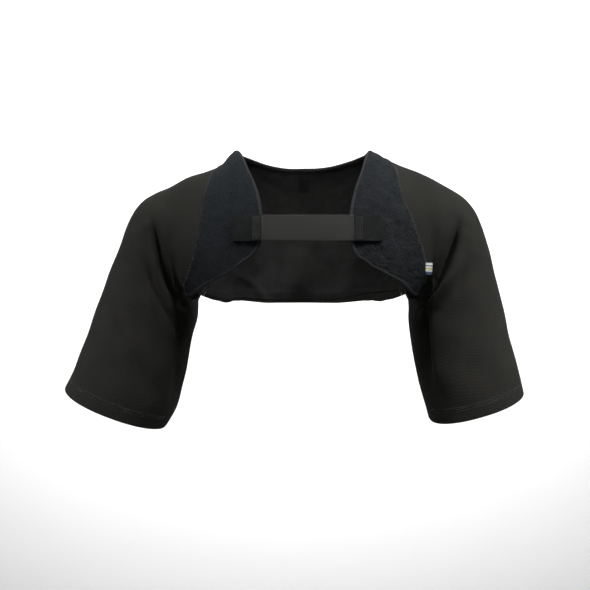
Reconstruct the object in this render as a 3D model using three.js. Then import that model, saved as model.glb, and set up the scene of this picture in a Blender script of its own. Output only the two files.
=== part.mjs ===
// A shoulder brace: a cape of warm bonded cloth with two elbow-length sleeves, worn over
// the shoulders like a shrug. Two loop-faced front flaps are joined across the chest by an
// elastic strap with a hook tab at each end.
// Millimetres. +X to the viewer's right, +Y to the wearer's back, +Z up. The origin lies
// midway between the neck points, at the height where the yoke rests on the shoulders.

import * as THREE from 'three';

// Sizes of the garment as worn
const neckWidth = 206; // between the two neck points
const underarmWidth = 344; // between the two underarm points
const shoulderWidth = 516; // over both shoulder caps
const armholeDepth = 229; // neck points down to the underarm
const leftShoulderFall = 40; // how far the shoulder line falls from neck point to underarm plane
const rightShoulderFall = 31;
const sleeveDrop = 370; // neck points down to the outer corner of the hem
const leftSpread = 109; // how far the outer corner of the hem lies outside the shoulder cap
const rightSpread = 82;
const underarmLength = 194; // underarm down to the inner corner of the hem
const chestDepth = 118; // neck line forward to the breastbone
const shoulderBladeDepth = 115; // neck line back to the shoulder blades
const sleeveDepth = 62; // half the sleeve's depth, front to back
const neckSetBack = 8; // how far behind the origin the shoulder line runs
const armholeTurn = 0.3; // how far the armhole's plane is turned, as a slope
const hemDip = 15; // how far the sleeve hem hangs lower at the front
const backNeckDrop = 22; // neck points down to the middle of the back neckline
const backLength = 233; // neck points down to the lower hem of the back

// Cloth, seams and trim
const wall = 2.2; // bonded knit
const flapWall = 2.6; // loop-faced front flap
const liningWall = 1.0;
const sewingGap = 0.35; // clearance between two sewn pieces
const sleeveHem = 21; // width of the turned-up sleeve hem
const backHem = 17; // width of the turned-up hem of the back
const hemRamp = 1.5; // length over which a turned-up hem reaches its double thickness
const foldHeight = 10; // depth that the fold table is a share of
const foldReach = 100; // width that the fold table is a share of
const foldEnd = 0.35; // depth left at a fold's ends, as a share
const foldRim = 0.15; // share of the half round over which folds die out at the sides
const tapeThickness = 0.8; // edge tape, folded over the raw edge
const tapeWidth = 5;
const tapeClearance = 0.45; // between a tape and the cloth that it covers

// Strap and labels
const strapWidth = 38;
const strapThickness = 1.6;
const strapHeight = -121; // the strap's middle, measured from the neck points
const strapLeftEnd = -62; // where the elastic leaves the left tab
const strapRightEnd = 75;
const strapOverlap = 14; // how far the elastic runs between a tab's layers
const leftTabLength = 44;
const rightTabLength = 47;
const tabWidth = 38.5;
const leftTabCorner = 6;
const rightTabCorner = 13;
const tabLayer = 0.9; // each of a tab's two layers
const sizeLabelWidth = 16;
const sizeLabelHeight = 17;
const sizeLabelAside = 2; // how far the label's middle lies to the right
const sizeLabelTop = -36; // measured from the neck points
const sideTagWidth = 12;
const sideTagHeight = 18;
const sideTagAside = 12.5; // the tag's inner edge, outwards of the underarm point
const sideTagRise = 59; // the tag's upper edge, above the underarm point
const labelThickness = 0.9;
const labelLift = 0.9; // how far a label's face stands off the cloth under it

// How finely the cloth is divided
const seamSteps = 8;
const seamCrowding = 1.25; // above 1, the seams' stages crowd towards the shoulder
const sleeveSteps = 13;
const ringSteps = 28;
const neckSteps = 6;
const flapSteps = 6;
const strapSteps = 10;
const cornerSteps = 4;
const newtonSteps = 12;
const halvings = 30;

const neckHalf = neckWidth / 2;
const underarmHalf = underarmWidth / 2;
const shoulderHalf = shoulderWidth / 2;

const side = { left: -1, right: 1 };
const fall = { left: leftShoulderFall, right: rightShoulderFall };
const spread = { left: leftSpread, right: rightSpread };

// Upright sections from the middle of the back to the underarm plane. at: place along u.
// leftRise, rightRise, low: top and bottom of the section, as shares of the shoulder fall
// and the armhole depth. front, back: shares of the two chest depths. turn: share of the
// armhole's turn. square: exponent of the superellipse.
const torsoRows = [
  { at: 0.0, leftRise: 0.0, rightRise: 0.0, low: 1.44, front: 1.0, back: 1.0, turn: 0.0, square: 2.3 },
  { at: 0.33, leftRise: 0.0, rightRise: 0.0, low: 1.42, front: 0.98, back: 0.98, turn: 0.0, square: 2.3 },
  { at: 0.597, leftRise: 0.0, rightRise: 0.0, low: 1.34, front: 0.88, back: 0.9, turn: 0.0, square: 2.25 },
  { at: 0.72, leftRise: 0.5, rightRise: 0.32, low: 1.25, front: 0.8, back: 0.83, turn: 0.2, square: 2.2 },
  { at: 0.86, leftRise: 0.8, rightRise: 0.68, low: 1.12, front: 0.69, back: 0.74, turn: 0.6, square: 2.2 },
  { at: 1.0, leftRise: 1.0, rightRise: 1.0, low: 1.0, front: 0.58, back: 0.63, turn: 1.0, square: 2.4 },
];
const neckU = torsoRows[2].at; // where u passes the neck point

// Slanted sections from the underarm plane to the hem, at even steps along u.
// reach: share of the way from the underarm to the shoulder cap. flare: share of the spread.
// drop: share of the sleeve drop. These three place the outer end of the section.
// tuck: inner end, as a share of half the underarm width, inwards of the underarm.
// down: share of the underarm length.
const sleeveRows = {
  left: [
    { reach: 0.36, flare: 0.0, drop: 0.15, tuck: 0.0, down: 0.006 },
    { reach: 0.62, flare: 0.0, drop: 0.173, tuck: 0.0, down: 0.012 },
    { reach: 0.83, flare: 0.0, drop: 0.207, tuck: 0.0, down: 0.02 },
    { reach: 0.99, flare: 0.0, drop: 0.252, tuck: 0.005, down: 0.03 },
    { reach: 1.0, flare: 0.09, drop: 0.311, tuck: 0.012, down: 0.048 },
    { reach: 1.0, flare: 0.18, drop: 0.376, tuck: 0.02, down: 0.08 },
    { reach: 1.0, flare: 0.32, drop: 0.472, tuck: 0.02, down: 0.15 },
    { reach: 1.0, flare: 0.455, drop: 0.572, tuck: -0.01, down: 0.27 },
    { reach: 1.0, flare: 0.58, drop: 0.672, tuck: -0.048, down: 0.44 },
    { reach: 1.0, flare: 0.727, drop: 0.796, tuck: -0.09, down: 0.64 },
    { reach: 1.0, flare: 0.868, drop: 0.902, tuck: -0.155, down: 0.84 },
    { reach: 1.0, flare: 1.0, drop: 0.988, tuck: -0.25, down: 1.0 },
  ],
  right: [
    { reach: 0.36, flare: 0.0, drop: 0.125, tuck: 0.0, down: 0.006 },
    { reach: 0.63, flare: 0.0, drop: 0.16, tuck: 0.0, down: 0.012 },
    { reach: 0.85, flare: 0.0, drop: 0.195, tuck: 0.0, down: 0.02 },
    { reach: 1.0, flare: 0.03, drop: 0.241, tuck: 0.005, down: 0.03 },
    { reach: 1.0, flare: 0.155, drop: 0.3, tuck: 0.012, down: 0.048 },
    { reach: 1.0, flare: 0.26, drop: 0.368, tuck: 0.02, down: 0.08 },
    { reach: 1.0, flare: 0.39, drop: 0.465, tuck: 0.03, down: 0.15 },
    { reach: 1.0, flare: 0.51, drop: 0.562, tuck: 0.02, down: 0.27 },
    { reach: 1.0, flare: 0.635, drop: 0.665, tuck: -0.008, down: 0.42 },
    { reach: 1.0, flare: 0.755, drop: 0.789, tuck: -0.05, down: 0.61 },
    { reach: 1.0, flare: 0.885, drop: 0.897, tuck: -0.11, down: 0.79 },
    { reach: 1.0, flare: 1.0, drop: 1.005, tuck: -0.155, down: 0.95 },
  ],
};

// The same sections' form, which both sleeves share. front, back: shares of the sleeve
// depth. turn: share of the armhole's turn. dip: share of the hem's dip.
const sleeveForm = [
  { front: 1.1, back: 1.16, turn: 1.0, dip: 0 },
  { front: 1.08, back: 1.14, turn: 1.0, dip: 0 },
  { front: 1.06, back: 1.12, turn: 0.95, dip: 0 },
  { front: 1.04, back: 1.1, turn: 0.9, dip: 0 },
  { front: 1.02, back: 1.08, turn: 0.8, dip: 0 },
  { front: 1.0, back: 1.06, turn: 0.65, dip: 0 },
  { front: 0.99, back: 1.05, turn: 0.45, dip: 0 },
  { front: 0.98, back: 1.04, turn: 0.25, dip: 0.05 },
  { front: 0.98, back: 1.03, turn: 0.1, dip: 0.2 },
  { front: 0.97, back: 1.02, turn: 0.0, dip: 0.45 },
  { front: 0.96, back: 1.0, turn: 0.0, dip: 0.75 },
  { front: 0.95, back: 0.98, turn: 0.0, dip: 1.0 },
];
const sleeveSquare = 2.2; // exponent of the sleeve's superellipse

// Distance from the middle at a place along u, up to the underarm.
function asideOf(u) {
  if (u < neckU) return (u / neckU) * neckHalf;
  return neckHalf + ((u - neckU) / (1 - neckU)) * (underarmHalf - neckHalf);
}

// Places the rows of one side, from the middle of the back to the hem.
function sectionsOf(name) {
  const torso = torsoRows.map((r) => ({
    inner: [asideOf(r.at), -r.low * armholeDepth],
    outer: [asideOf(r.at), -r[`${name}Rise`] * fall[name]],
    front: r.front * chestDepth,
    back: r.back * shoulderBladeDepth,
    turn: r.turn * armholeTurn,
    square: r.square,
    dip: 0,
  }));
  const sleeve = sleeveRows[name].map((r, i) => ({
    inner: [
      underarmHalf * (1 - r.tuck),
      -armholeDepth - r.down * underarmLength,
    ],
    outer: [
      underarmHalf + r.reach * (shoulderHalf - underarmHalf) + r.flare * spread[name],
      -r.drop * sleeveDrop,
    ],
    front: sleeveForm[i].front * sleeveDepth,
    back: sleeveForm[i].back * sleeveDepth,
    turn: sleeveForm[i].turn * armholeTurn,
    square: sleeveSquare,
    dip: sleeveForm[i].dip * hemDip,
  }));
  return [...torso, ...sleeve];
}
const sections = { left: sectionsOf('left'), right: sectionsOf('right') };
const torsoSpans = torsoRows.length - 1;
const sleeveSpans = sleeveForm.length;

function catmull(a, b, c, d, t) {
  const linear = c - a;
  const square = 2 * a - 5 * b + 4 * c - d;
  const cube = 3 * b - a - 3 * c + d;
  return b + 0.5 * t * (linear + t * (square + t * cube));
}

// One column of a table, smoothly, at a place counted in rows. A mirrored table runs on
// past its first row as its own mirror image. Any other runs on in a straight line.
function smooth(count, value, place, mirror = false) {
  const i = Math.min(Math.max(Math.floor(place), 0), count - 2);
  const before = i > 0 ? value(i - 1) : mirror ? value(1) : 2 * value(0) - value(1);
  const after = i + 2 < count ? value(i + 2) : 2 * value(count - 1) - value(count - 2);
  return catmull(before, value(i), value(i + 1), after, place - i);
}

// u runs from 0 at the middle of the back to 1 at the underarm and 2 at the hem.
const torsoPlaces = torsoRows.map((r) => r.at);
function rowPlace(u) {
  if (u >= 1) return torsoSpans + (u - 1) * sleeveSpans;
  let i = 0;
  while (i < torsoSpans - 1 && torsoPlaces[i + 1] <= u) i += 1;
  return i + (u - torsoPlaces[i]) / (torsoPlaces[i + 1] - torsoPlaces[i]);
}

const power = (value, exponent) => Math.sign(value) * Math.abs(value) ** exponent;

// The cloth's inner face without folds. v runs round the section: 0 at the underarm,
// a quarter at the middle of the back, half at the shoulder line, three quarters in front.
function bareSurface(name, u, v) {
  const rows = sections[name];
  const place = rowPlace(u);
  const column = (pick, mirror) => smooth(rows.length, (i) => pick(rows[i]), place, mirror);
  const across = u < torsoPlaces[1];
  const ix = across ? asideOf(u) : column((r) => r.inner[0]);
  const ox = across ? asideOf(u) : column((r) => r.outer[0]);
  const iz = column((r) => r.inner[1], true);
  const oz = column((r) => r.outer[1], true);
  const front = column((r) => r.front, true);
  const back = column((r) => r.back, true);
  const turn = column((r) => r.turn, true);
  const square = column((r) => r.square, true);
  const dip = column((r) => r.dip, true);
  const angle = 2 * Math.PI * v;
  const along = (1 - power(Math.cos(angle), 2 / square)) / 2;
  const bulge = power(Math.sin(angle), 2 / square);
  const depth = bulge * (bulge > 0 ? back : front);
  const length = Math.hypot(ox - ix, oz - iz);
  const slide = dip * Math.max(-bulge, -1);
  const x = ix + along * (ox - ix) - turn * depth + (slide * (oz - iz)) / length;
  const z = iz + along * (oz - iz) - (slide * (ox - ix)) / length;
  return new THREE.Vector3(side[name] * x, neckSetBack + depth, z);
}

// Normal of a surface given as a function of u and v, by small steps either way.
function normalOf(surface, name, u, v) {
  const step = 1e-3;
  const u0 = Math.max(u - step, 0);
  const alongU = surface(name, u + step, v).sub(surface(name, u0, v));
  const alongV = surface(name, u, v + step).sub(surface(name, u, v - step));
  return alongV.cross(alongU).multiplyScalar(side[name]).normalize();
}

// Folds on the front, each from one place to another. depth: share of the fold height,
// negative into the cloth. width: share of the fold reach.
const folds = {
  left: [
    { u: 1.19, v: 0.71, toU: 1.16, toV: 0.88, depth: -1.0, width: 0.1 },
    { u: 1.27, v: 0.66, toU: 1.55, toV: 0.81, depth: -0.35, width: 0.09 },
    { u: 1.3, v: 0.93, toU: 1.73, toV: 0.96, depth: -0.4, width: 0.07 },
    { u: 1.72, v: 0.62, toU: 1.86, toV: 0.72, depth: -0.35, width: 0.16 },
  ],
  right: [
    { u: 1.28, v: 0.69, toU: 1.3, toV: 0.84, depth: -1.3, width: 0.11 },
    { u: 1.45, v: 0.7, toU: 1.5, toV: 0.84, depth: 0.5, width: 0.12 },
    { u: 1.45, v: 0.89, toU: 1.75, toV: 0.92, depth: -0.5, width: 0.08 },
    { u: 1.7, v: 0.62, toU: 1.88, toV: 0.7, depth: -0.3, width: 0.16 },
  ],
};

// Each fold's two ends as seen from the front.
const foldLines = {};
for (const name of Object.keys(side)) {
  foldLines[name] = folds[name].map((f) => {
    const start = bareSurface(name, f.u, f.v);
    const end = bareSurface(name, f.toU, f.toV);
    const line = new THREE.Vector2(end.x - start.x, end.z - start.z);
    return { ...f, start: new THREE.Vector2(start.x, start.z), line };
  });
}

// How far the folds push the cloth out at a point: a bell-shaped groove or ridge along
// each line, fading out towards the line's ends and towards the back.
function foldPush(name, point, v) {
  const frontness = Math.min(Math.max(-Math.sin(2 * Math.PI * v) / foldRim, 0), 1);
  let push = 0;
  for (const fold of foldLines[name]) {
    const seen = new THREE.Vector2(point.x, point.z).sub(fold.start);
    const along = Math.min(Math.max(seen.dot(fold.line) / fold.line.lengthSq(), 0), 1);
    const off = seen.distanceTo(fold.line.clone().multiplyScalar(along));
    const fade = foldEnd + (1 - foldEnd) * Math.sin(Math.PI * along);
    const bell = Math.exp(-((off / (fold.width * foldReach)) ** 2));
    push += fold.depth * foldHeight * fade * bell * frontness;
  }
  return push;
}

// The cloth's inner face with its folds.
function clothSurface(name, u, v) {
  const point = bareSurface(name, u, v);
  const push = foldPush(name, point, v);
  if (Math.abs(push) < 1e-3) return point;
  return point.addScaledVector(normalOf(bareSurface, name, u, v), push);
}

// A point at some height above the cloth's inner face.
function clothPoint({ name, u, v }, height) {
  const point = clothSurface(name, u, v);
  return point.addScaledVector(normalOf(clothSurface, name, u, v), height);
}

// The place between two places, or past them.
function between(a, b, t) {
  return { name: b.name, u: a.u + (b.u - a.u) * t, v: a.v + (b.v - a.v) * t };
}

function distance(a, b) {
  return clothPoint(a, 0).distanceTo(clothPoint(b, 0));
}

// Finds the place that has the given x and z, by Newton's method from a first guess.
function placeAt(x, z, guess) {
  const name = x < 0 ? 'left' : 'right';
  const step = 1e-4;
  let { u, v } = guess;
  for (let i = 0; i < newtonSteps; i += 1) {
    const here = clothSurface(name, u, v);
    const byU = clothSurface(name, u + step, v).sub(here).divideScalar(step);
    const byV = clothSurface(name, u, v + step).sub(here).divideScalar(step);
    const det = byU.x * byV.z - byV.x * byU.z;
    const dx = x - here.x;
    const dz = z - here.z;
    u = Math.max(u + (dx * byV.z - dz * byV.x) / det, 0);
    v += (dz * byU.x - dx * byU.z) / det;
  }
  return { name, u, v };
}

// Seams and edges. Each row is a stage on the way from the shoulder seam down to the
// underarm. seam: the flap's outer seam. edge: its free edge.
const seamRows = {
  left: [
    { seamU: 0.717, seamV: 0.5014, edgeU: neckU, edgeV: 0.5002 },
    { seamU: 0.779, seamV: 0.57, edgeU: 0.48, edgeV: 0.603 },
    { seamU: 0.804, seamV: 0.625, edgeU: 0.405, edgeV: 0.647 },
    { seamU: 0.822, seamV: 0.667, edgeU: 0.363, edgeV: 0.685 },
    { seamU: 0.829, seamV: 0.703, edgeU: 0.354, edgeV: 0.717 },
    { seamU: 0.84, seamV: 0.738, edgeU: 0.385, edgeV: 0.743 },
    { seamU: 0.868, seamV: 0.772, edgeU: 0.56, edgeV: 0.7685 },
    { seamU: 0.91, seamV: 0.815, edgeU: 0.77, edgeV: 0.81 },
    { seamU: 0.978, seamV: 0.893, edgeU: 0.955, edgeV: 0.903 },
  ],
  right: [
    { seamU: 0.717, seamV: 0.5014, edgeU: neckU, edgeV: 0.5002 },
    { seamU: 0.781, seamV: 0.562, edgeU: 0.51, edgeV: 0.603 },
    { seamU: 0.793, seamV: 0.618, edgeU: 0.447, edgeV: 0.649 },
    { seamU: 0.813, seamV: 0.668, edgeU: 0.403, edgeV: 0.689 },
    { seamU: 0.857, seamV: 0.701, edgeU: 0.397, edgeV: 0.72 },
    { seamU: 0.9, seamV: 0.743, edgeU: 0.425, edgeV: 0.747 },
    { seamU: 0.938, seamV: 0.776, edgeU: 0.6, edgeV: 0.771 },
    { seamU: 0.968, seamV: 0.826, edgeU: 0.785, edgeV: 0.814 },
    { seamU: 0.97, seamV: 0.898, edgeU: 0.948, edgeV: 0.907 },
  ],
};

// The back's seam, the same on both sides and at the same stages.
const backSeamRows = [
  { backU: 0.717, backV: 0.4986 },
  { backU: 0.775, backV: 0.43 },
  { backU: 0.825, backV: 0.375 },
  { backU: 0.868, backV: 0.325 },
  { backU: 0.9, backV: 0.275 },
  { backU: 0.925, backV: 0.225 },
  { backU: 0.945, backV: 0.175 },
  { backU: 0.96, backV: 0.13 },
  { backU: 0.97, backV: 0.083 },
];
const seamTop = backSeamRows[0];
const seamFoot = backSeamRows.at(-1);

// The seams' stages, with extra ones for the tape's width at the top and the hem below.
const tapeShare = tapeWidth / armholeDepth;
const hemShare = backHem / armholeDepth;
const rampShare = hemRamp / armholeDepth;
const stages = [
  0,
  tapeShare,
  ...Array.from({ length: seamSteps - 1 }, (_, i) => ((i + 1) / seamSteps) ** seamCrowding),
  1 - hemShare - rampShare,
  1 - hemShare,
  1,
].sort((a, b) => a - b);

function seamPlace(name, stage, edge) {
  const rows = edge === 'back' ? backSeamRows : seamRows[name];
  const place = stage * (rows.length - 1);
  const column = (key) => smooth(rows.length, (i) => rows[i][key], place);
  return { name, u: column(`${edge}U`), v: column(`${edge}V`) };
}

// Shares of a row between two seams, drawn in at the given ends by a seam's clearance.
// placeOf turns a share into a place.
function easeShares(shares, placeOf, easeStart, easeEnd) {
  const step = 0.01;
  const reachStart = distance(placeOf(0), placeOf(step)) / step;
  const reachEnd = distance(placeOf(1), placeOf(1 - step)) / step;
  const start = easeStart ? sewingGap / reachStart : 0;
  const end = easeEnd ? sewingGap / reachEnd : 0;
  return shares.map((s) => start + s * (1 - start - end));
}

// Two triangles for a quad, split along its shorter diagonal.
function splitQuad(positions, [a, b, c, d]) {
  const [pa, pb, pc, pd] = [a, b, c, d].map((id) => positions[id]);
  if (pa.distanceTo(pc) <= pb.distanceTo(pd)) return [[a, b, c], [a, c, d]];
  return [[b, c, d], [b, d, a]];
}

function geometryOf(positions, triangles) {
  const flat = positions.flatMap((p) => p.toArray());
  let volume = 0;
  for (const [a, b, c] of triangles) {
    volume += positions[a].dot(positions[b].clone().cross(positions[c]));
  }
  const outward = volume > 0 ? triangles : triangles.map(([a, b, c]) => [a, c, b]);
  const geometry = new THREE.BufferGeometry();
  geometry.setAttribute('position', new THREE.Float32BufferAttribute(flat, 3));
  geometry.setIndex(outward.flat());
  geometry.computeVertexNormals();
  return geometry;
}

// A sheet of cloth from rows of places, with the heights of its two faces on each row.
// From the row ringFrom on, a row closes on itself, so its last place is its first.
function sheet(rows, heights, ringFrom = Infinity) {
  const last = rows[0].length - 1;
  const positions = [];
  const ids = rows.map((row, i) => {
    const count = i >= ringFrom ? last : last + 1;
    const faces = heights(i).map((height) => {
      const start = positions.length;
      row.slice(0, count).forEach((place) => positions.push(clothPoint(place, height)));
      return start;
    });
    return (face, j) => faces[face] + (j % count);
  });
  const triangles = [];
  const quad = (...corners) => triangles.push(...splitQuad(positions, corners));
  const end = rows.length - 1;
  for (let i = 0; i < end; i += 1) {
    const [here, next] = [ids[i], ids[i + 1]];
    for (let j = 0; j < last; j += 1) {
      quad(here(1, j), here(1, j + 1), next(1, j + 1), next(1, j));
      quad(here(0, j), next(0, j), next(0, j + 1), here(0, j + 1));
    }
    if (i < ringFrom) {
      quad(here(0, 0), here(1, 0), next(1, 0), next(0, 0));
      quad(here(1, last), here(0, last), next(0, last), next(1, last));
    }
  }
  for (let j = 0; j < last; j += 1) {
    const [top, bottom] = [ids[0], ids[end]];
    quad(top(0, j), top(0, j + 1), top(1, j + 1), top(1, j));
    quad(bottom(1, j), bottom(1, j + 1), bottom(0, j + 1), bottom(0, j));
  }
  return geometryOf(positions, triangles);
}

// A solid swept through stations. Each station turns the outline's points into points in
// space, and the outline itself gives the triangles of the two ends.
function sweep(outline, stations) {
  const size = outline.length;
  const positions = stations.flatMap((station) => outline.map(station));
  const triangles = [];
  for (let i = 0; i < stations.length - 1; i += 1) {
    for (let j = 0; j < size; j += 1) {
      const a = i * size + j;
      const b = i * size + ((j + 1) % size);
      triangles.push(...splitQuad(positions, [a, b, b + size, a + size]));
    }
  }
  const clockwise = THREE.ShapeUtils.isClockWise(outline);
  const end = (stations.length - 1) * size;
  for (const [a, b, c] of THREE.ShapeUtils.triangulateShape(outline, [])) {
    const [first, second] = clockwise ? [b, c] : [c, b];
    triangles.push([a, first, second], [end + a, end + second, end + first]);
  }
  return geometryOf(positions, triangles);
}

const fleece = new THREE.MeshStandardMaterial({ color: 0x2a2a26, roughness: 0.95 });
const loopCloth = new THREE.MeshStandardMaterial({ color: 0x1d2129, roughness: 1.0 });
const lining = new THREE.MeshStandardMaterial({ color: 0x1e1e1e, roughness: 0.8 });
const elastic = new THREE.MeshStandardMaterial({ color: 0x373733, roughness: 0.85 });
const tapeCloth = new THREE.MeshStandardMaterial({ color: 0x2b2e34, roughness: 0.9 });
const tabCloth = new THREE.MeshStandardMaterial({ color: 0x202226, roughness: 0.8 });
const labelCloth = new THREE.MeshStandardMaterial({ color: 0x141414, roughness: 0.6 });
const tagCloth = new THREE.MeshStandardMaterial({ color: 0x5c6a72, roughness: 0.7 });

function piece(name, geometry, material) {
  const mesh = new THREE.Mesh(geometry, material);
  mesh.name = name;
  return mesh;
}

// Rows of the sleeve: open strips over the shoulder between the two seams, one more strip
// whose ends draw together under the arm, then rings. Places are counted along u.
const stripsEnd = 1.01; // the last strip between the seams, along the shoulder line
const stripCrowding = 0.8; // below 1, the strips crowd towards the underarm
const stripFlatness = 4; // how long a strip keeps to its middle before it turns to the seams
const joiningRow = { u: 1.03, fromV: 0.04, toV: 0.95 };
const ringStart = 1.05;

function sleeveRowsOf(name) {
  const columns = Array.from({ length: ringSteps + 1 }, (_, j) => j / ringSteps);
  const strips = stages.map((stage) => {
    const front = seamPlace(name, stage, 'seam');
    const back = seamPlace(name, stage, 'back');
    const middle = seamTop.backU + (stripsEnd - seamTop.backU) * stage ** stripCrowding;
    const placeOf = (s) => {
      const straight = between(back, front, s);
      const towardsEnds = (2 * s - 1) ** stripFlatness;
      return { name, u: middle + (straight.u - middle) * towardsEnds, v: straight.v };
    };
    return easeShares(columns, placeOf, true, true).map(placeOf);
  });
  const { u: joinU, fromV, toV } = joiningRow;
  const open = columns.map((s) => ({ name, u: joinU, v: fromV + (toV - fromV) * s }));
  const hemU = 2 - sleeveHem / sleeveLengthPerU(name);
  const rampU = hemU - hemRamp / sleeveLengthPerU(name);
  const rings = Array.from({ length: sleeveSteps + 1 }, (_, i) => {
    const t = i / sleeveSteps;
    return ringStart + (rampU - ringStart) * t;
  });
  const closed = [...rings, hemU, 2].map((u) => columns.map((s) => ({ name, u, v: s })));
  return [...strips, open, ...closed];
}

// Millimetres of cloth for one unit of u, near the hem.
function sleeveLengthPerU(name) {
  const atHem = { name, u: 2, v: 0.75 };
  const above = { name, u: 1.95, v: 0.75 };
  return distance(atHem, above) / (atHem.u - above.u);
}

function sleeve(name) {
  const rows = sleeveRowsOf(name);
  const hemRow = rows.length - 2;
  const heights = (i) => [i >= hemRow ? -wall : 0, wall];
  return piece(`${name}_sleeve`, sheet(rows, heights, stages.length + 1), fleece);
}

// Top of the back panel. at: share of the way from the middle to the neck point.
// share: how far the neckline lies below the shoulder line, of what it does in the middle.
const neckRows = [
  { at: 0.0, share: 1.0 },
  { at: 0.25, share: 0.983 },
  { at: 0.5, share: 0.888 },
  { at: 0.75, share: 0.697 },
  { at: 0.92, share: 0.449 },
  { at: 1.0, share: 0.002 },
];

// Bottom of the back panel. at: share of the way from the middle to the seam's foot.
// share: how far the hem lies above that foot, of what it does in the middle.
const hemRows = [
  { at: 0.0, share: 1.0 },
  { at: 0.26, share: 0.981 },
  { at: 0.48, share: 0.917 },
  { at: 0.66, share: 0.796 },
  { at: 0.85, share: 0.426 },
  { at: 1.0, share: 0.0 },
];

// Where the middle of the back passes a height, between two places round the section.
function middleV(z, low, high) {
  let [below, above] = [low, high];
  for (let i = 0; i < halvings; i += 1) {
    const middle = (below + above) / 2;
    if (bareSurface('left', 0, middle).z < z) below = middle;
    else above = middle;
  }
  return (below + above) / 2;
}
const shoulderV = 0.5;
const bladeV = 0.25;
const neckDropV = shoulderV - middleV(-backNeckDrop, bladeV, shoulderV);
const hemRiseV = middleV(-backLength, 0, bladeV) - seamFoot.backV;

// One column of a table whose rows stand at uneven shares of the way.
function tableAt(rows, at) {
  const i = Math.max(rows.findLastIndex((row, k) => k < rows.length - 1 && row.at <= at), 0);
  const place = i + (at - rows[i].at) / (rows[i + 1].at - rows[i].at);
  return smooth(rows.length, (k) => rows[k].share, place, true);
}

// The back between its two seams. Columns run from the left seam to the right one, and
// the last column on each side spans the shoulder seam.
const neckShare = neckU / seamTop.backU;
function backPlace(stage, c) {
  const name = c < 0 ? 'left' : 'right';
  const across = Math.abs(c);
  const seam = seamPlace(name, stage, 'back');
  const seamShare = (seam.v - seamTop.backV) / (seamFoot.backV - seamTop.backV);
  const share = stage + (seamShare - stage) * across ** 2;
  const neckAt = across / neckShare;
  const onNeck = shoulderV - tableAt(neckRows, Math.min(neckAt, 1)) * neckDropV;
  const pastNeck = Math.max(neckAt - 1, 0) / (1 / neckShare - 1);
  const topV = onNeck + (seamTop.backV - onNeck) * pastNeck;
  const hemV = seamFoot.backV + tableAt(hemRows, across) * hemRiseV;
  return { name, u: seam.u * across, v: topV + (hemV - topV) * share };
}

// The place square to an edge at a distance inside it, on the side where `inside` lies.
function squareInside(edge, i, inside, width) {
  const { name, u, v } = edge[i];
  const step = 1e-3;
  const here = clothSurface(name, u, v);
  const byU = clothSurface(name, u + step, v).sub(here).divideScalar(step);
  const byV = clothSurface(name, u, v + step).sub(here).divideScalar(step);
  const before = clothPoint(edge[Math.max(i - 1, 0)], 0);
  const after = clothPoint(edge[Math.min(i + 1, edge.length - 1)], 0);
  const inward = after.sub(before).cross(byU.clone().cross(byV)).normalize();
  if (inward.dot(clothPoint(inside, 0).sub(here)) < 0) inward.negate();
  const [uu, uv, vv] = [byU.dot(byU), byU.dot(byV), byV.dot(byV)];
  const [du, dv] = [inward.dot(byU), inward.dot(byV)];
  const det = uu * vv - uv * uv;
  const inU = u + (width * (du * vv - dv * uv)) / det;
  const inV = v + (width * (dv * uu - du * uv)) / det;
  return { name, u: inU, v: inV };
}

function backRowsOf() {
  const half = Array.from({ length: neckSteps + 1 }, (_, j) => (neckShare * j) / neckSteps);
  const rightColumns = [...half, 1];
  const leftColumns = rightColumns.slice(1).reverse();
  const rows = stages.map((stage) => {
    const toSide = (sign) => {
      const placeOf = (across) => backPlace(stage, sign * across);
      return (columns) => easeShares(columns, placeOf, false, true).map(placeOf);
    };
    return [...toSide(-1)(leftColumns), ...toSide(1)(rightColumns)];
  });
  const [edge, second] = rows;
  for (let j = 1; j < edge.length - 1; j += 1) {
    second[j] = squareInside(edge, j, second[j], tapeWidth);
  }
  return rows;
}

const backGrid = backRowsOf();

function backPanel() {
  const hemRow = stages.length - 2;
  const heights = (i) => [i >= hemRow ? -wall : 0, wall];
  return piece('back_panel', sheet(backGrid, heights), fleece);
}

function backLining() {
  const rows = backGrid.slice(0, -2);
  const heights = () => [-sewingGap - liningWall, -sewingGap];
  return piece('back_lining', sheet(rows, heights), lining);
}

// The flap between its outer seam and its free edge, whose last column lies a tape's
// width inside the edge.
function flapRowsOf(name) {
  return stages.map((stage) => {
    const seam = seamPlace(name, stage, 'seam');
    const edge = seamPlace(name, stage, 'edge');
    const reach = distance(edge, between(edge, seam, 0.1)) / 0.1;
    const tape = Math.min(tapeWidth / reach, 0.5);
    const count = flapSteps - 1;
    const columns = Array.from({ length: count + 1 }, (_, j) => ((1 - tape) * j) / count);
    const placeOf = (b) => between(seam, edge, b);
    return easeShares([...columns, 1], placeOf, true, false).map(placeOf);
  });
}

const flapGrids = { left: flapRowsOf('left'), right: flapRowsOf('right') };

function flap(name) {
  const geometry = sheet(flapGrids[name], () => [0, flapWall]);
  return piece(`${name}_front_flap`, geometry, loopCloth);
}

// A tape folded over a raw edge, given by the places along it and others inside it.
// The outline's x runs outwards past the edge, its y up from the cloth.
function edgeTape(edge, inside, low, high) {
  const past = tapeClearance + tapeThickness;
  const outline = [
    [-tapeWidth, high + tapeClearance],
    [-tapeWidth, high + past],
    [past, high + past],
    [past, low - past],
    [-tapeWidth, low - past],
    [-tapeWidth, low - tapeClearance],
    [tapeClearance, low - tapeClearance],
    [tapeClearance, high + tapeClearance],
  ].map(([x, y]) => new THREE.Vector2(x, y));
  const stations = edge.map((place, i) => {
    const reach = distance(inside[i], place);
    return ({ x, y }) => {
      const share = x < 0 ? 0 : 1 + x / reach;
      return clothPoint(between(inside[i], place, share), y);
    };
  });
  return sweep(outline, stations);
}

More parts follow.
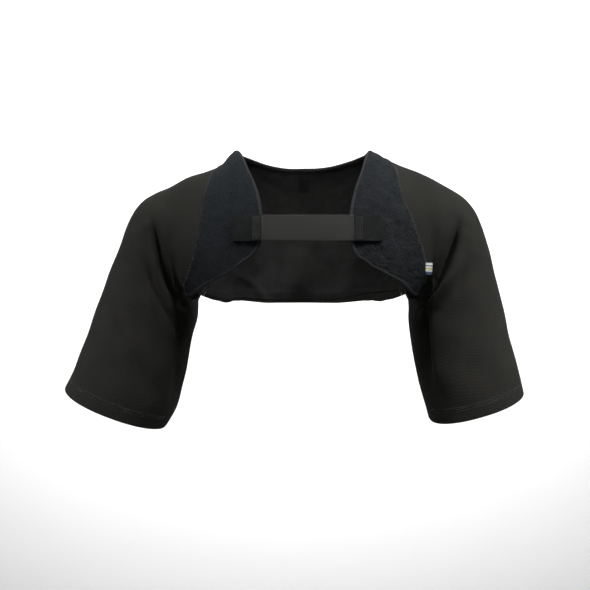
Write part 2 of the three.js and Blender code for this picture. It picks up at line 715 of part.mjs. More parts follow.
function flapBinding(name) {
  const edge = flapGrids[name].map((row) => row[flapSteps]);
  const inside = flapGrids[name].map((row) => row[flapSteps - 1]);
  const geometry = edgeTape(edge, inside, 0, flapWall);
  return piece(`${name}_flap_binding`, geometry, tapeCloth);
}

function neckBinding() {
  const [edge, inside] = backGrid.slice(0, 2).map((row) => row.slice(1, -1));
  const geometry = edgeTape(edge, inside, -sewingGap - liningWall, wall);
  return piece('neck_binding', geometry, tapeCloth);
}

// The tabs lie on the flaps' bindings, and hold the elastic between their two layers.
const chestGuess = { u: 0.3, v: 0.72 };
const tabBottom = flapWall + tapeClearance + tapeThickness + 2 * sewingGap;
const strapBottom = tabBottom + tabLayer + sewingGap;
const strapTop = strapBottom + strapThickness;
const tabTop = strapTop + sewingGap + tabLayer;

function chestStrap() {
  const half = strapWidth / 2;
  const heights = [-half, -half / 2, 0, half / 2, half];
  const outline = [
    ...heights.map((z) => [z, strapBottom]),
    ...heights.toReversed().map((z) => [z, strapTop]),
  ].map(([x, y]) => new THREE.Vector2(x, y));
  const span = strapRightEnd - strapLeftEnd;
  const free = Array.from({ length: strapSteps + 1 }, (_, i) => (span * i) / strapSteps);
  const ends = [strapLeftEnd - strapOverlap, strapLeftEnd - strapOverlap / 2];
  const stops = [
    ...ends,
    ...free.map((x) => strapLeftEnd + x),
    strapRightEnd + strapOverlap / 2,
    strapRightEnd + strapOverlap,
  ];
  const stations = stops.map((x) => (point) => {
    const place = placeAt(x, strapHeight + point.x, chestGuess);
    return clothPoint(place, point.y);
  });
  return piece('chest_strap', sweep(outline, stations), elastic);
}

// A tab folded in two, open towards the elastic. The outline's x runs from the open end
// to the fold, and the fold's corners are rounded off above and below.
function tab(name, openEnd, length, corner) {
  const slot = strapOverlap + sewingGap;
  const stops = [0, slot / 2, slot, (2 * slot + length) / 3, (slot + 2 * length) / 3, length];
  const outline = [
    ...stops.map((x) => [x, tabBottom]),
    ...stops.toReversed().map((x) => [x, tabTop]),
    [0, strapTop + sewingGap],
    [slot / 2, strapTop + sewingGap],
    [slot, strapTop + sewingGap],
    [slot, strapBottom - sewingGap],
    [slot / 2, strapBottom - sewingGap],
    [0, strapBottom - sewingGap],
  ].map(([x, y]) => new THREE.Vector2(x, y));
  const half = tabWidth / 2;
  const quarter = Array.from({ length: cornerSteps + 1 }, (_, i) => {
    const angle = (Math.PI / 2) * (i / cornerSteps);
    return { z: half - corner + corner * Math.cos(angle), cut: corner * (1 - Math.sin(angle)) };
  });
  const below = quarter.map(({ z, cut }) => ({ z: -z, cut }));
  const straight = [-0.5, 0, 0.5].map((share) => ({ z: share * (half - corner), cut: 0 }));
  const stations = [...below, ...straight, ...quarter.toReversed()].map(({ z, cut }) => (point) => {
    const past = Math.max(point.x - slot, 0) / (length - slot);
    const x = openEnd + side[name] * (point.x - past * cut);
    return clothPoint(placeAt(x, strapHeight + z, chestGuess), point.y);
  });
  return piece(`${name}_tab`, sweep(outline, stations), tabCloth);
}

// A flat label on the cloth, from its upper left corner as seen from the front.
function label(name, corner, width, height, heights, guess, material) {
  const grid = [0, 0.5, 1].map((down) => [0, 0.5, 1].map((across) => {
    return placeAt(corner.x + across * width, corner.z - down * height, guess);
  }));
  return piece(name, sheet(grid, () => heights), material);
}

function sizeLabel() {
  const corner = { x: sizeLabelAside - sizeLabelWidth / 2, z: sizeLabelTop };
  const top = -liningWall - sewingGap - labelLift;
  const heights = [top - labelThickness, top];
  const guess = { u: 0.05, v: 0.39 };
  const size = [sizeLabelWidth, sizeLabelHeight];
  return label('size_label', corner, ...size, heights, guess, labelCloth);
}

function sideTag() {
  const corner = { x: underarmHalf + sideTagAside, z: sideTagRise - armholeDepth };
  const heights = [wall + labelLift, wall + labelLift + labelThickness];
  const guess = { u: 1.0, v: 0.82 };
  return label('side_tag', corner, sideTagWidth, sideTagHeight, heights, guess, tagCloth);
}

const brace = new THREE.Group();
brace.add(
  sleeve('left'),
  sleeve('right'),
  backPanel(),
  backLining(),
  flap('left'),
  flap('right'),
  flapBinding('left'),
  flapBinding('right'),
  neckBinding(),
  chestStrap(),
  tab('left', strapLeftEnd, leftTabLength, leftTabCorner),
  tab('right', strapRightEnd, rightTabLength, rightTabCorner),
  sizeLabel(),
  sideTag(),
);

export default brace;
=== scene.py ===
import bpy
import numpy as np
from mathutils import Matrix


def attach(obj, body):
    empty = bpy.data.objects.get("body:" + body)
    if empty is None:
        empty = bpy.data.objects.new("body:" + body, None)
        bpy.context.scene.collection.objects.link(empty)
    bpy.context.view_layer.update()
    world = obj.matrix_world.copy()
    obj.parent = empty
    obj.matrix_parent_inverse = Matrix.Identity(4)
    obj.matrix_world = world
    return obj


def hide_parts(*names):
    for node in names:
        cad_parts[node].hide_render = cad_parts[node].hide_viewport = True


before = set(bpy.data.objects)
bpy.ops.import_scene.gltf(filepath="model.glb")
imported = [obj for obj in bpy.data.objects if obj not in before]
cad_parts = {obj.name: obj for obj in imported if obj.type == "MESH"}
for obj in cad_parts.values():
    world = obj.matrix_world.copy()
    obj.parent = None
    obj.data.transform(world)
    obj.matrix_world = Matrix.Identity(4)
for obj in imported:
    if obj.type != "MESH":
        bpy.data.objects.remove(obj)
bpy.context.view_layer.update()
scene = bpy.context.scene
print("stage: frame loaded")

# The garment's form

garment = {
    "neckHalf": 103.0, "underarmHalf": 172.0, "shoulderHalf": 258.0,
    "armholeDepth": 229.0, "leftFall": 40.0, "rightFall": 31.0,
    "sleeveDrop": 370.0, "leftSpread": 109.0, "rightSpread": 82.0, "underarmLength": 194.0,
    "chestDepth": 118.0, "bladeDepth": 115.0, "sleeveDepth": 62.0, "setBack": 8.0,
    "armholeTurn": 0.3, "hemDip": 15.0, "neckDrop": 22.0, "backLength": 233.0,
    "wall": 2.2, "flapWall": 2.6, "liningWall": 1.0, "gap": 0.35, "seamGap": 0.05,
    "sleeveSquare": 2.2, "neckU": 0.597,
}

# at, left rise, right rise, low, front, back, turn, square
torsoTable = np.array([
    [0.000, 0.00, 0.00, 1.44, 1.00, 1.00, 0.0, 2.30],
    [0.330, 0.00, 0.00, 1.42, 0.98, 0.98, 0.0, 2.30],
    [0.597, 0.00, 0.00, 1.34, 0.88, 0.90, 0.0, 2.25],
    [0.720, 0.50, 0.32, 1.25, 0.80, 0.83, 0.2, 2.20],
    [0.860, 0.80, 0.68, 1.12, 0.69, 0.74, 0.6, 2.20],
    [1.000, 1.00, 1.00, 1.00, 0.58, 0.63, 1.0, 2.40],
])

# reach, flare, drop, tuck, down
sleeveTable = {
    "left": np.array([
        [0.36, 0.000, 0.150, 0.000, 0.006], [0.62, 0.000, 0.173, 0.000, 0.012],
        [0.83, 0.000, 0.207, 0.000, 0.020], [0.99, 0.000, 0.252, 0.005, 0.030],
        [1.00, 0.090, 0.311, 0.012, 0.048], [1.00, 0.180, 0.376, 0.020, 0.080],
        [1.00, 0.320, 0.472, 0.020, 0.150], [1.00, 0.455, 0.572, -0.010, 0.270],
        [1.00, 0.580, 0.672, -0.048, 0.440], [1.00, 0.727, 0.796, -0.090, 0.640],
        [1.00, 0.868, 0.902, -0.155, 0.840], [1.00, 1.000, 0.988, -0.250, 1.000],
    ]),
    "right": np.array([
        [0.36, 0.000, 0.125, 0.000, 0.006], [0.63, 0.000, 0.160, 0.000, 0.012],
        [0.85, 0.000, 0.195, 0.000, 0.020], [1.00, 0.030, 0.241, 0.005, 0.030],
        [1.00, 0.155, 0.300, 0.012, 0.048], [1.00, 0.260, 0.368, 0.020, 0.080],
        [1.00, 0.390, 0.465, 0.030, 0.150], [1.00, 0.510, 0.562, 0.020, 0.270],
        [1.00, 0.635, 0.665, -0.008, 0.420], [1.00, 0.755, 0.789, -0.050, 0.610],
        [1.00, 0.885, 0.897, -0.110, 0.790], [1.00, 1.000, 1.005, -0.155, 0.950],
    ]),
}

# front, back, turn, dip
sleeveForm = np.array([
    [1.10, 1.16, 1.00, 0.00], [1.08, 1.14, 1.00, 0.00], [1.06, 1.12, 0.95, 0.00],
    [1.04, 1.10, 0.90, 0.00], [1.02, 1.08, 0.80, 0.00], [1.00, 1.06, 0.65, 0.00],
    [0.99, 1.05, 0.45, 0.00], [0.98, 1.04, 0.25, 0.05], [0.98, 1.03, 0.10, 0.20],
    [0.97, 1.02, 0.00, 0.45], [0.96, 1.00, 0.00, 0.75], [0.95, 0.98, 0.00, 1.00],
])


def asideOf(u):
    # distance from the middle: even steps to the neck point, then even steps to the underarm
    g = garment
    return np.interp(u, [0, g["neckU"], 1], [0, g["neckHalf"], g["underarmHalf"]])


def sectionTable(name):
    # every section's inner and outer point, its depth in front and behind, its turn, the
    # exponent of its superellipse and its dip, with one more row before and after
    g = garment
    at, left, right, low, front, back, turn, square = torsoTable.T
    rise = (left if name == "left" else right) * g[name + "Fall"]
    torso = np.column_stack([
        asideOf(at), -low * g["armholeDepth"], asideOf(at), -rise, front * g["chestDepth"],
        back * g["bladeDepth"], turn * g["armholeTurn"], square, 0 * at,
    ])
    reach, flare, drop, tuck, down = sleeveTable[name].T
    front, back, turn, dip = sleeveForm.T
    capReach = g["shoulderHalf"] - g["underarmHalf"]
    sleeve = np.column_stack([
        g["underarmHalf"] * (1 - tuck), -g["armholeDepth"] - down * g["underarmLength"],
        g["underarmHalf"] + reach * capReach + flare * g[name + "Spread"], -drop * g["sleeveDrop"],
        front * g["sleeveDepth"], back * g["sleeveDepth"], turn * g["armholeTurn"],
        0 * dip + g["sleeveSquare"], dip * g["hemDip"],
    ])
    table = np.vstack([torso, sleeve])
    before = table[1].copy()  # the form is its own mirror image past the middle of the back
    before[[0, 2]] = -table[1, [0, 2]]
    return np.vstack([before, table, 2 * table[-1] - table[-2]])


sectionTables = {name: sectionTable(name) for name in ("left", "right")}


def curveThrough(padded, place):
    # Catmull-Rom curve through a table's rows, padded with one row at each end, at a place
    # counted in rows
    i = np.clip(np.floor(place).astype(int), 0, len(padded) - 4)
    t = place - i
    if padded.ndim > 1:
        t = t[..., None]
    a, b, c, d = (padded[i + k] for k in range(4))
    return b + 0.5 * t * (c - a + t * (2 * a - 5 * b + 4 * c - d + t * (3 * b - a - 3 * c + d)))


def power(value, exponent):
    return np.sign(value) * np.abs(value) ** exponent


def smoothStep(value):
    # from 0 to 1 with a level start and end
    return value * value * (3 - 2 * value)


def bareSurface(side, u, v):
    # a superellipse in each section: along the line from the inner to the outer point it
    # follows a power of the cosine, and a power of the sine takes it to the back and front
    rowCount = len(torsoTable) - 1
    places = np.interp(u, torsoTable[:, 0], np.arange(rowCount + 1))
    places = np.where(u < 1, places, rowCount + (u - 1) * len(sleeveForm))
    row = np.where(
        side[..., None] < 0,
        curveThrough(sectionTables["left"], places),
        curveThrough(sectionTables["right"], places),
    )
    ix, iz, ox, oz, front, back, turn, square, dip = np.moveaxis(row, -1, 0)
    nearMiddle = u < torsoTable[1, 0]
    ix = np.where(nearMiddle, asideOf(u), ix)
    ox = np.where(nearMiddle, asideOf(u), ox)
    angle = 2 * np.pi * v
    along = (1 - power(np.cos(angle), 2 / square)) / 2
    bulge = power(np.sin(angle), 2 / square)
    depth = bulge * np.where(bulge > 0, back, front)
    length = np.hypot(ox - ix, oz - iz)
    slide = dip * np.maximum(-bulge, -1)
    x = ix + along * (ox - ix) - turn * depth + slide * (oz - iz) / length
    z = iz + along * (oz - iz) - slide * (ox - ix) / length
    return np.stack([side * x, garment["setBack"] + depth, z], -1)


def normalOf(surface, side, u, v, step=1e-3):
    # cross product of small steps along v and along u
    alongU = surface(side, u + step, v) - surface(side, np.maximum(u - step, 0), v)
    alongV = surface(side, u, v + step) - surface(side, u, v - step)
    normal = np.cross(alongV, alongU) * side[..., None]
    return normal / np.linalg.norm(normal, axis=-1, keepdims=True)


# Large folds, as in the solid part: u, v, to u, to v, depth and width in mm
folds = {
    -1: [
        [1.19, 0.71, 1.16, 0.88, -10.0, 10.0],
        [1.27, 0.66, 1.55, 0.81, -3.5, 9.0],
        [1.30, 0.93, 1.73, 0.96, -4.0, 7.0],
        [1.72, 0.62, 1.86, 0.72, -3.5, 16.0],
    ],
    1: [
        [1.28, 0.69, 1.30, 0.84, -13.0, 11.0],
        [1.45, 0.70, 1.50, 0.84, 5.0, 12.0],
        [1.45, 0.89, 1.75, 0.92, -5.0, 8.0],
        [1.70, 0.62, 1.88, 0.70, -3.0, 16.0],
    ],
}

# Finer folds, in mm as seen from the front: x, z, to x, to z, depth, width, lean (above 0 the
# flank to the right of the picture is the gentler one), bow sideways, face (1 front, -1 back)
fineFolds = np.array([
    [-227, -108, -217, -184, -8.0, 5.0, 0.5, 0, 1],
    [-217, -172, -186, -234, -14.0, 7.0, 0.5, -4, 1],
    [-236, -112, -199, -248, 5.5, 5.0, 0.0, -6, 1],
    [-251, -136, -198, -268, -6.5, 6.0, 0.2, -5, 1],
    [-262, -118, -226, -262, 2.0, 9.0, 0.0, 4, 1],
    [-291, -250, -272, -326, -2.6, 8.0, -0.3, 3, 1],
    [-306, -262, -290, -340, 1.6, 9.0, 0.0, 3, 1],
    [-262, -300, -236, -372, -1.6, 12.0, 0.0, 0, 1],
    [-194, -224, -184, -322, -10.0, 5.5, 0.0, 2, 1],
    [-188, -296, -200, -384, -5.0, 9.0, 0.3, 0, 1],
    [-236, -62, -192, -96, -1.4, 12.0, 0.0, 0, 1],
    [237, -110, 212, -188, -10.0, 7.0, -0.35, 3, 1],
    [215, -178, 180, -230, -15.0, 9.0, -0.3, 3, 1],
    [247, -124, 205, -236, 6.5, 5.0, 0.2, 1, 1],
    [252, -146, 234, -218, -3.6, 7.0, 0.0, 0, 1],
    [182, -228, 198, -356, -11.0, 7.0, -0.3, -2, 1],
    [264, -236, 246, -330, -2.2, 11.0, 0.0, 3, 1],
    [294, -262, 300, -372, 1.4, 12.0, 0.0, 0, 1],
    [206, -60, 226, -98, -1.4, 12.0, 0.0, 0, 1],
    [-205, -150, -300, -330, -3.0, 11.0, 0.0, 8, -1],
    [-190, -190, -250, -330, -2.6, 9.0, 0.0, 6, -1],
    [-168, -200, -110, -150, -2.4, 10.0, 0.0, -4, -1],
    [200, -150, 290, -330, -3.0, 11.0, 0.0, -8, -1],
    [190, -190, 240, -330, -2.6, 9.0, 0.0, -6, -1],
    [168, -200, 110, -150, -2.4, 10.0, 0.0, 4, -1],
])
drape = {"foldEnd": 0.35, "foldRim": 0.15, "waviness": 0.7}


def foldBell(seen, start, end, width, lean=0.0, bow=0.0):
    # a bell across a line that is bent sideways as a parabola, and a sine along it
    line = end - start
    length = np.hypot(*line)
    offset = seen - start
    place = offset @ line / length ** 2
    along = np.clip(place, 0, 1)
    across = (line[0] * offset[..., 1] - line[1] * offset[..., 0]) / length
    across = across - bow * 4 * along * (1 - along)
    past = (place - along) * length
    spread = width * (1 + lean * np.tanh(across / width))
    bell = np.exp(-(across ** 2 + past ** 2) / spread ** 2)
    return bell * (drape["foldEnd"] + (1 - drape["foldEnd"]) * np.sin(np.pi * along))


def foldPush(side, point, v):
    # the folds' depths, each times its bell, on the face that it lies on
    push = np.zeros(v.shape)
    seen = point[..., [0, 2]]
    facing = np.clip(-np.sin(2 * np.pi * v) / drape["foldRim"], -1, 1)
    for sign, rows in folds.items():
        table = np.array(rows)
        ends = bareSurface(np.full((len(table), 2), sign), table[:, [0, 2]], table[:, [1, 3]])
        for row, (start, end) in zip(table, ends[..., [0, 2]]):
            near = (side == sign) * np.maximum(facing, 0)
            push += row[4] * near * foldBell(seen, start, end, row[5])
    for row in fineFolds:
        near = np.maximum(facing * row[8], 0)
        push += row[4] * near * foldBell(seen, row[:2], row[2:4], row[5], row[6], row[7])
    return push


# slow swells, each the product of two sines: radians a mm along x, y and z, and the phase
swells = [
    (1.0, np.array([[1 / 21, 0, 1 / 33, 1.3], [0, -1 / 27, 1 / 19, 0]])),
    (0.45, np.array([[1 / 11, 1 / 13, -1 / 15, 0.4], [1 / 29, 0, 1 / 23, 2.1]])),
]


def waviness(point):
    total = 0
    for share, sines in swells:
        first, second = (np.sin(point @ row[:3] + row[3]) for row in sines)
        total = total + share * first * second
    return drape["waviness"] * total


def clothSurface(side, u, v):
    # the bare surface, moved along its normal by the folds and the swell
    point = bareSurface(side, u, v)
    push = foldPush(side, point, v) + waviness(point)
    return point + normalOf(bareSurface, side, u, v) * push[..., None]


def clothBase(side, u, v):
    side, u, v = np.broadcast_arrays(side, u, v)
    return clothSurface(side, u, v), normalOf(clothSurface, side, u, v)


def clothPoint(side, u, v, height):
    base, normal = clothBase(side, u, v)
    return base + normal * np.asarray(height)[..., None]


def slopes(side, u, v, step):
    # the point, and the way in mm for each unit of u and of v
    here = clothSurface(side, u, v)
    byU = (clothSurface(side, u + step, v) - here) / step
    byV = (clothSurface(side, u, v + step) - here) / step
    return here, byU, byV


def placeAt(x, z, guess):
    # Newton's method for the place that has the given x and z
    side = np.where(x < 0, -1, 1)
    u, v = (np.full(x.shape, value) for value in guess)
    for _ in range(12):
        here, byU, byV = slopes(side, u, v, 1e-4)
        det = byU[..., 0] * byV[..., 2] - byV[..., 0] * byU[..., 2]
        dx, dz = x - here[..., 0], z - here[..., 2]
        u = np.maximum(u + (dx * byV[..., 2] - dz * byV[..., 0]) / det, 0)
        v = v + (dz * byU[..., 0] - dx * byU[..., 2]) / det
    return side, u, v


# Seams, edges, neckline and hem

# seam u, seam v, edge u, edge v, from the shoulder seam down to the underarm
seamTable = {
    -1: np.array([
        [0.717, 0.5014, 0.597, 0.5002], [0.779, 0.570, 0.480, 0.603], [0.804, 0.625, 0.405, 0.647],
        [0.822, 0.667, 0.363, 0.685], [0.829, 0.703, 0.354, 0.717], [0.840, 0.738, 0.385, 0.743],
        [0.868, 0.772, 0.560, 0.7685], [0.910, 0.815, 0.770, 0.810], [0.978, 0.893, 0.955, 0.903],
    ]),
    1: np.array([
        [0.717, 0.5014, 0.597, 0.5002], [0.781, 0.562, 0.510, 0.603], [0.793, 0.618, 0.447, 0.649],
        [0.813, 0.668, 0.403, 0.689], [0.857, 0.701, 0.397, 0.720], [0.900, 0.743, 0.425, 0.747],
        [0.938, 0.776, 0.600, 0.771], [0.968, 0.826, 0.785, 0.814], [0.970, 0.898, 0.948, 0.907],
    ]),
}
backSeamTable = np.array([
    [0.717, 0.4986], [0.775, 0.430], [0.825, 0.375], [0.868, 0.325], [0.900, 0.275],
    [0.925, 0.225], [0.945, 0.175], [0.960, 0.130], [0.970, 0.083],
])
# at, share: neckline from the middle to the neck point, hem from the middle to the seam's foot
neckTable = np.array([
    [0.0, 1.0], [0.25, 0.983], [0.5, 0.888], [0.75, 0.697], [0.92, 0.449], [1.0, 0.002],
])
hemTable = np.array([
    [0.0, 1.0], [0.26, 0.981], [0.48, 0.917], [0.66, 0.796], [0.85, 0.426], [1.0, 0.0],
])


def padRows(table, mirror=False):
    before = table[1] if mirror else 2 * table[0] - table[1]
    return np.concatenate([[before], table, [2 * table[-1] - table[-2]]])


def seamPlace(side, stage, kind):
    # the seam, edge or back seam at a stage from 0 at the shoulder to 1 at the underarm
    if kind == "back":
        found = curveThrough(padRows(backSeamTable), stage * (len(backSeamTable) - 1))
        return found[..., 0], found[..., 1]
    column = {"seam": 0, "edge": 2}[kind]
    place = stage * (len(seamTable[1]) - 1)
    left = curveThrough(padRows(seamTable[-1]), place)
    right = curveThrough(padRows(seamTable[1]), place)
    found = np.where(np.asarray(side)[..., None] < 0, left, right)
    return found[..., column], found[..., column + 1]


def unevenTable(table, at):
    place = np.interp(at, table[:, 0], np.arange(len(table)))
    return curveThrough(padRows(table[:, 1], mirror=True), place)


def middleV(z, low, high):
    # halves the range until the middle of the back passes the height z
    for _ in range(30):
        middle = (low + high) / 2
        below = bareSurface(np.array(-1), np.array(0.0), np.array(middle))[2] < z
        low, high = (middle, high) if below else (low, middle)
    return (low + high) / 2


neckDropV = 0.5 - middleV(-garment["neckDrop"], 0.25, 0.5)
hemRiseV = middleV(-garment["backLength"], 0.0, 0.25) - backSeamTable[-1, 1]


def backPlace(stage, share):
    # columns run from the left seam (share 0) to the right one (share 1), and the rows bend
    # from the neckline's curve into the hem's
    across = 2 * share - 1
    side = np.where(across < 0, -1, 1)
    across = np.abs(across)
    seamU, seamV = seamPlace(side, stage, "back")
    topV, footV = backSeamTable[0, 1], backSeamTable[-1, 1]
    seamShare = (seamV - topV) / (footV - topV)
    down = stage + (seamShare - stage) * across ** 2
    neckShare = garment["neckU"] / backSeamTable[0, 0]
    onNeck = 0.5 - unevenTable(neckTable, np.minimum(across / neckShare, 1)) * neckDropV
    pastNeck = np.maximum(across / neckShare - 1, 0) / (1 / neckShare - 1)
    startV = onNeck + (topV - onNeck) * pastNeck
    endV = footV + unevenTable(hemTable, across) * hemRiseV
    return side, seamU * across, startV + (endV - startV) * down


def flapPlace(side):
    # straight steps in u and v from the outer seam (share 0) to the free edge (share 1)
    def place(stage, share):
        seamU, seamV = seamPlace(side, stage, "seam")
        edgeU, edgeV = seamPlace(side, stage, "edge")
        u = seamU + (edgeU - seamU) * share
        return np.full(u.shape, side), u, seamV + (edgeV - seamV) * share
    return place


sleeveLayout = {"stripsEnd": 1.01, "ringStart": 1.05, "stripCrowding": 0.8, "flatness": 4}


def stripPlace(side):
    # rows over the shoulder from the back seam (share 0) to the front one (share 1), which
    # keep to their middle and turn to the seams with the fourth power
    def place(stage, share):
        frontU, frontV = seamPlace(side, stage, "seam")
        backU, backV = seamPlace(side, stage, "back")
        reach = sleeveLayout["stripsEnd"] - backSeamTable[0, 0]
        middle = backSeamTable[0, 0] + reach * stage ** sleeveLayout["stripCrowding"]
        straight = backU + (frontU - backU) * share
        u = middle + (straight - middle) * (2 * share - 1) ** sleeveLayout["flatness"]
        return np.full(u.shape, side), u, backV + (frontV - backV) * share
    return place


print("stage: form worked out")

# Meshes

rimOffsets = np.array([0.0, 0.12, 0.4, 0.8, 1.3, 2.1])  # mm from an edge, where it rounds off
rimShare = 0.3  # of a row that its rim takes at most


def evenShares(placeOf, stages, count, gapStart, gapEnd):
    # shares of every row: fixed distances in mm near both ends, and even steps between
    tip = 0.01
    base = lambda share: clothBase(*placeOf(stages, np.full(stages.shape, share)))[0]
    reachStart = np.linalg.norm(base(tip) - base(0.0), axis=-1) / tip
    reachEnd = np.linalg.norm(base(1 - tip) - base(1.0), axis=-1) / tip
    first = (gapStart + rimOffsets)[None, :] / reachStart[:, None]
    last = (gapEnd + rimOffsets)[None, :] / reachEnd[:, None]
    first *= np.minimum(1, rimShare / first[:, -1:])
    last *= np.minimum(1, rimShare / last[:, -1:])
    steps = np.linspace(0, 1, count + 2)[1:-1]
    start, end = first[:, -1:], 1 - last[:, -1:]
    return np.hstack([first, start + (end - start) * steps, 1 - last[:, ::-1]])


def stepLengths(points, axis):
    steps = np.linalg.norm(np.diff(points, axis=axis), axis=-1)
    zero = np.zeros_like(np.take(steps, [0], axis=axis))
    return np.concatenate([zero, np.cumsum(steps, axis=axis)], axis=axis)


def flatUv(points):
    # lengths in metres: down the middle column, and along each row from its middle
    middle = points.shape[1] // 2
    down = stepLengths(points, 0)[:, middle]
    across = stepLengths(points, 1)
    across = across - across[:, middle:middle + 1]
    return np.stack([across, np.broadcast_to(down[:, None], across.shape)], -1) / 1000


def edgeDistance(points, ringFrom=None):
    # mm to the nearest edge of the sheet, along rows and columns
    down, across = stepLengths(points, 0), stepLengths(points, 1)
    fromFoot = down[-1:] - down
    fromSide = np.minimum(across, across[:, -1:] - across)
    distance = np.minimum(np.minimum(down, fromFoot), fromSide)
    if ringFrom is not None:
        apex = np.linalg.norm(points - points[ringFrom, 0], axis=-1)
        distance[ringFrom:] = np.minimum(fromFoot, apex)[ringFrom:]
    return distance, fromFoot


def roundedFaces(base, normal, low, high, distance):
    # both faces of the sheet, drawn together in a half round at its edges
    half = (high - low) / 2
    near = np.clip(distance / half, 0, 1)
    half = half * np.sqrt(1 - (1 - near) ** 2)
    middle = (low + high) / 2
    outer = base + normal * (middle + half)[..., None]
    return outer, base + normal * (middle - half)[..., None]


def outwardFaces(points, faces):
    # the volume under all faces is positive when they point outwards
    a, b, c = points[faces[:, 0]], points[faces[:, 1]], points[faces[:, 2]]
    d = points[faces[:, -1]]
    volume = np.sum(a * np.cross(b, c)) + np.sum(a * np.cross(c, d))
    return volume > 0


def makePiece(name, points, faces, uv, material, caps=()):
    # points in mm; faces and uv are both per corner; caps are extra faces with many corners
    if not outwardFaces(points, faces):
        faces, uv = faces[:, ::-1], uv[:, ::-1]
        caps = [cap[::-1] for cap in caps]
    mesh = bpy.data.meshes.new(name)
    allFaces = faces.tolist() + [list(map(int, cap)) for cap in caps]
    mesh.from_pydata((points / 1000).tolist(), [], allFaces)
    corners = [uv.reshape(-1, 2)] + [np.repeat(uv[:1, 0], len(cap), 0) for cap in caps]
    mesh.uv_layers.new(name="UVMap").data.foreach_set("uv", np.concatenate(corners).ravel())
    mesh.polygons.foreach_set("use_smooth", np.ones(len(mesh.polygons), dtype=bool))
    mesh.materials.append(material)
    mesh.update()
    piece = bpy.data.objects.new(name, mesh)
    scene.collection.objects.link(piece)
    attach(piece, "root")
    return piece


def gridQuads(rows, columns):
    a = (np.arange(rows - 1)[:, None] * columns + np.arange(columns - 1)).ravel()
    return np.column_stack([a, a + 1, a + columns + 1, a + columns])


def clothUv(side, u, v):
    # lengths in metres: up from the sleeve hem along u, and round from the shoulder line
    # along v, looked up between the points of an even grid
    startU, perU, perV = 0.5, 100, 128
    gridU = np.linspace(startU, 2, int((2 - startU) * perU) + 1)
    meshU, meshV = np.meshgrid(gridU, np.linspace(0, 1, perV + 1), indexing="ij")
    bare = bareSurface(np.full(meshU.shape, side), meshU, meshV)
    down, around = stepLengths(bare, 0), stepLengths(bare, 1)
    i = np.clip((u - startU) * perU, 0, len(gridU) - 1.001)
    j = np.clip(v * perV, 0, perV - 0.001)
    low, left = i.astype(int), j.astype(int)
    di, dj = i - low, j - left
    found = []
    for table in (around - around[:, perV // 2:perV // 2 + 1], down - down[-1:]):
        top = table[low, left] * (1 - dj) + table[low, left + 1] * dj
        foot = table[low + 1, left] * (1 - dj) + table[low + 1, left + 1] * dj
        found.append(top * (1 - di) + foot * di)
    return np.stack(found, -1) / 1000


def closedSheet(name, outer, inner, material, slotName, ringFrom=None, uvGrid=None):
    # two grids that share their edge points; from the row ringFrom on, rows close into rings
    rows, columns = outer.shape[:2]
    count = rows * columns
    weld = np.arange(2 * count).reshape(2, rows, columns)
    openRows = rows if ringFrom is None else ringFrom + 1
    if ringFrom is not None:
        weld[:, ringFrom:, -1] = weld[:, ringFrom:, 0]
    weld[1, [0, -1]] = weld[0, [0, -1]]
    weld[1, :openRows, 0] = weld[0, :openRows, 0]
    weld[1, :openRows, -1] = weld[0, :openRows, -1]
    quads = gridQuads(rows, columns)
    corners = np.vstack([quads, quads[:, ::-1] + count])
    if uvGrid is None:
        uvGrid = flatUv((outer + inner) / 2)
    uv = np.tile(uvGrid.reshape(-1, 2), (2, 1))[corners]
    used, faces = np.unique(weld.ravel()[corners], return_inverse=True)
    points = np.concatenate([outer.reshape(-1, 3), inner.reshape(-1, 3)])[used]
    return makePiece(name, points, faces.reshape(-1, 4), uv, material)


def tubeMesh(name, rings, material):
    # rings has one closed outline per station; both ends get a cap
    stations, size = rings.shape[:2]
    wrapped = np.concatenate([rings, rings[:, :1]], axis=1)
    quads = gridQuads(stations, size + 1)
    uv = flatUv(wrapped).reshape(-1, 2)[quads]
    rowOf, columnOf = quads // (size + 1), quads % (size + 1) % size
    faces = rowOf * size + columnOf
    caps = [np.arange(size)[::-1], (stations - 1) * size + np.arange(size)]
    return makePiece(name, rings.reshape(-1, 3), faces, uv, material, caps)


def atLengths(at, length, values):
    # vectors along a line, looked up at the given lengths
    return np.stack([np.interp(at, length, values[:, k]) for k in range(3)], -1)


def unit(vector):
    return vector / np.maximum(np.linalg.norm(vector, axis=-1, keepdims=True), 1e-9)


def zigzag(name, line, normals, size, thread):
    # a triangle wave across the seam, arched over it and sunk where the needle went in, as
    # a six-sided tube carried along it
    perHalf = 4
    length = stepLengths(line[None], 1)[0]
    halves = max(int(round(2 * length[-1] / size["pitch"])), 2)
    at = np.linspace(0, length[-1], halves * perHalf + 1)
    points, normals = atLengths(at, length, line), unit(atLengths(at, length, normals))
    across = unit(np.cross(normals, np.gradient(points, axis=0)))
    wave = 2 * np.abs(np.arange(len(at)) / perHalf % 2 - 1) - 1
    lift = size["lift"] * (1 - np.abs(wave) ** 3) - size["sink"]
    points = points + across * (wave * size["half"])[:, None] + normals * lift[:, None]
    tangent = unit(np.gradient(points, axis=0))
    binormal = unit(np.cross(tangent, normals))
    upward = np.cross(binormal, tangent)
    turn = np.linspace(0, 2 * np.pi, 7)[:-1, None]
    outline = np.cos(turn) * upward[:, None] + np.sin(turn) * binormal[:, None]
    return tubeMesh(name, points[:, None] + size["radius"] * outline, thread)


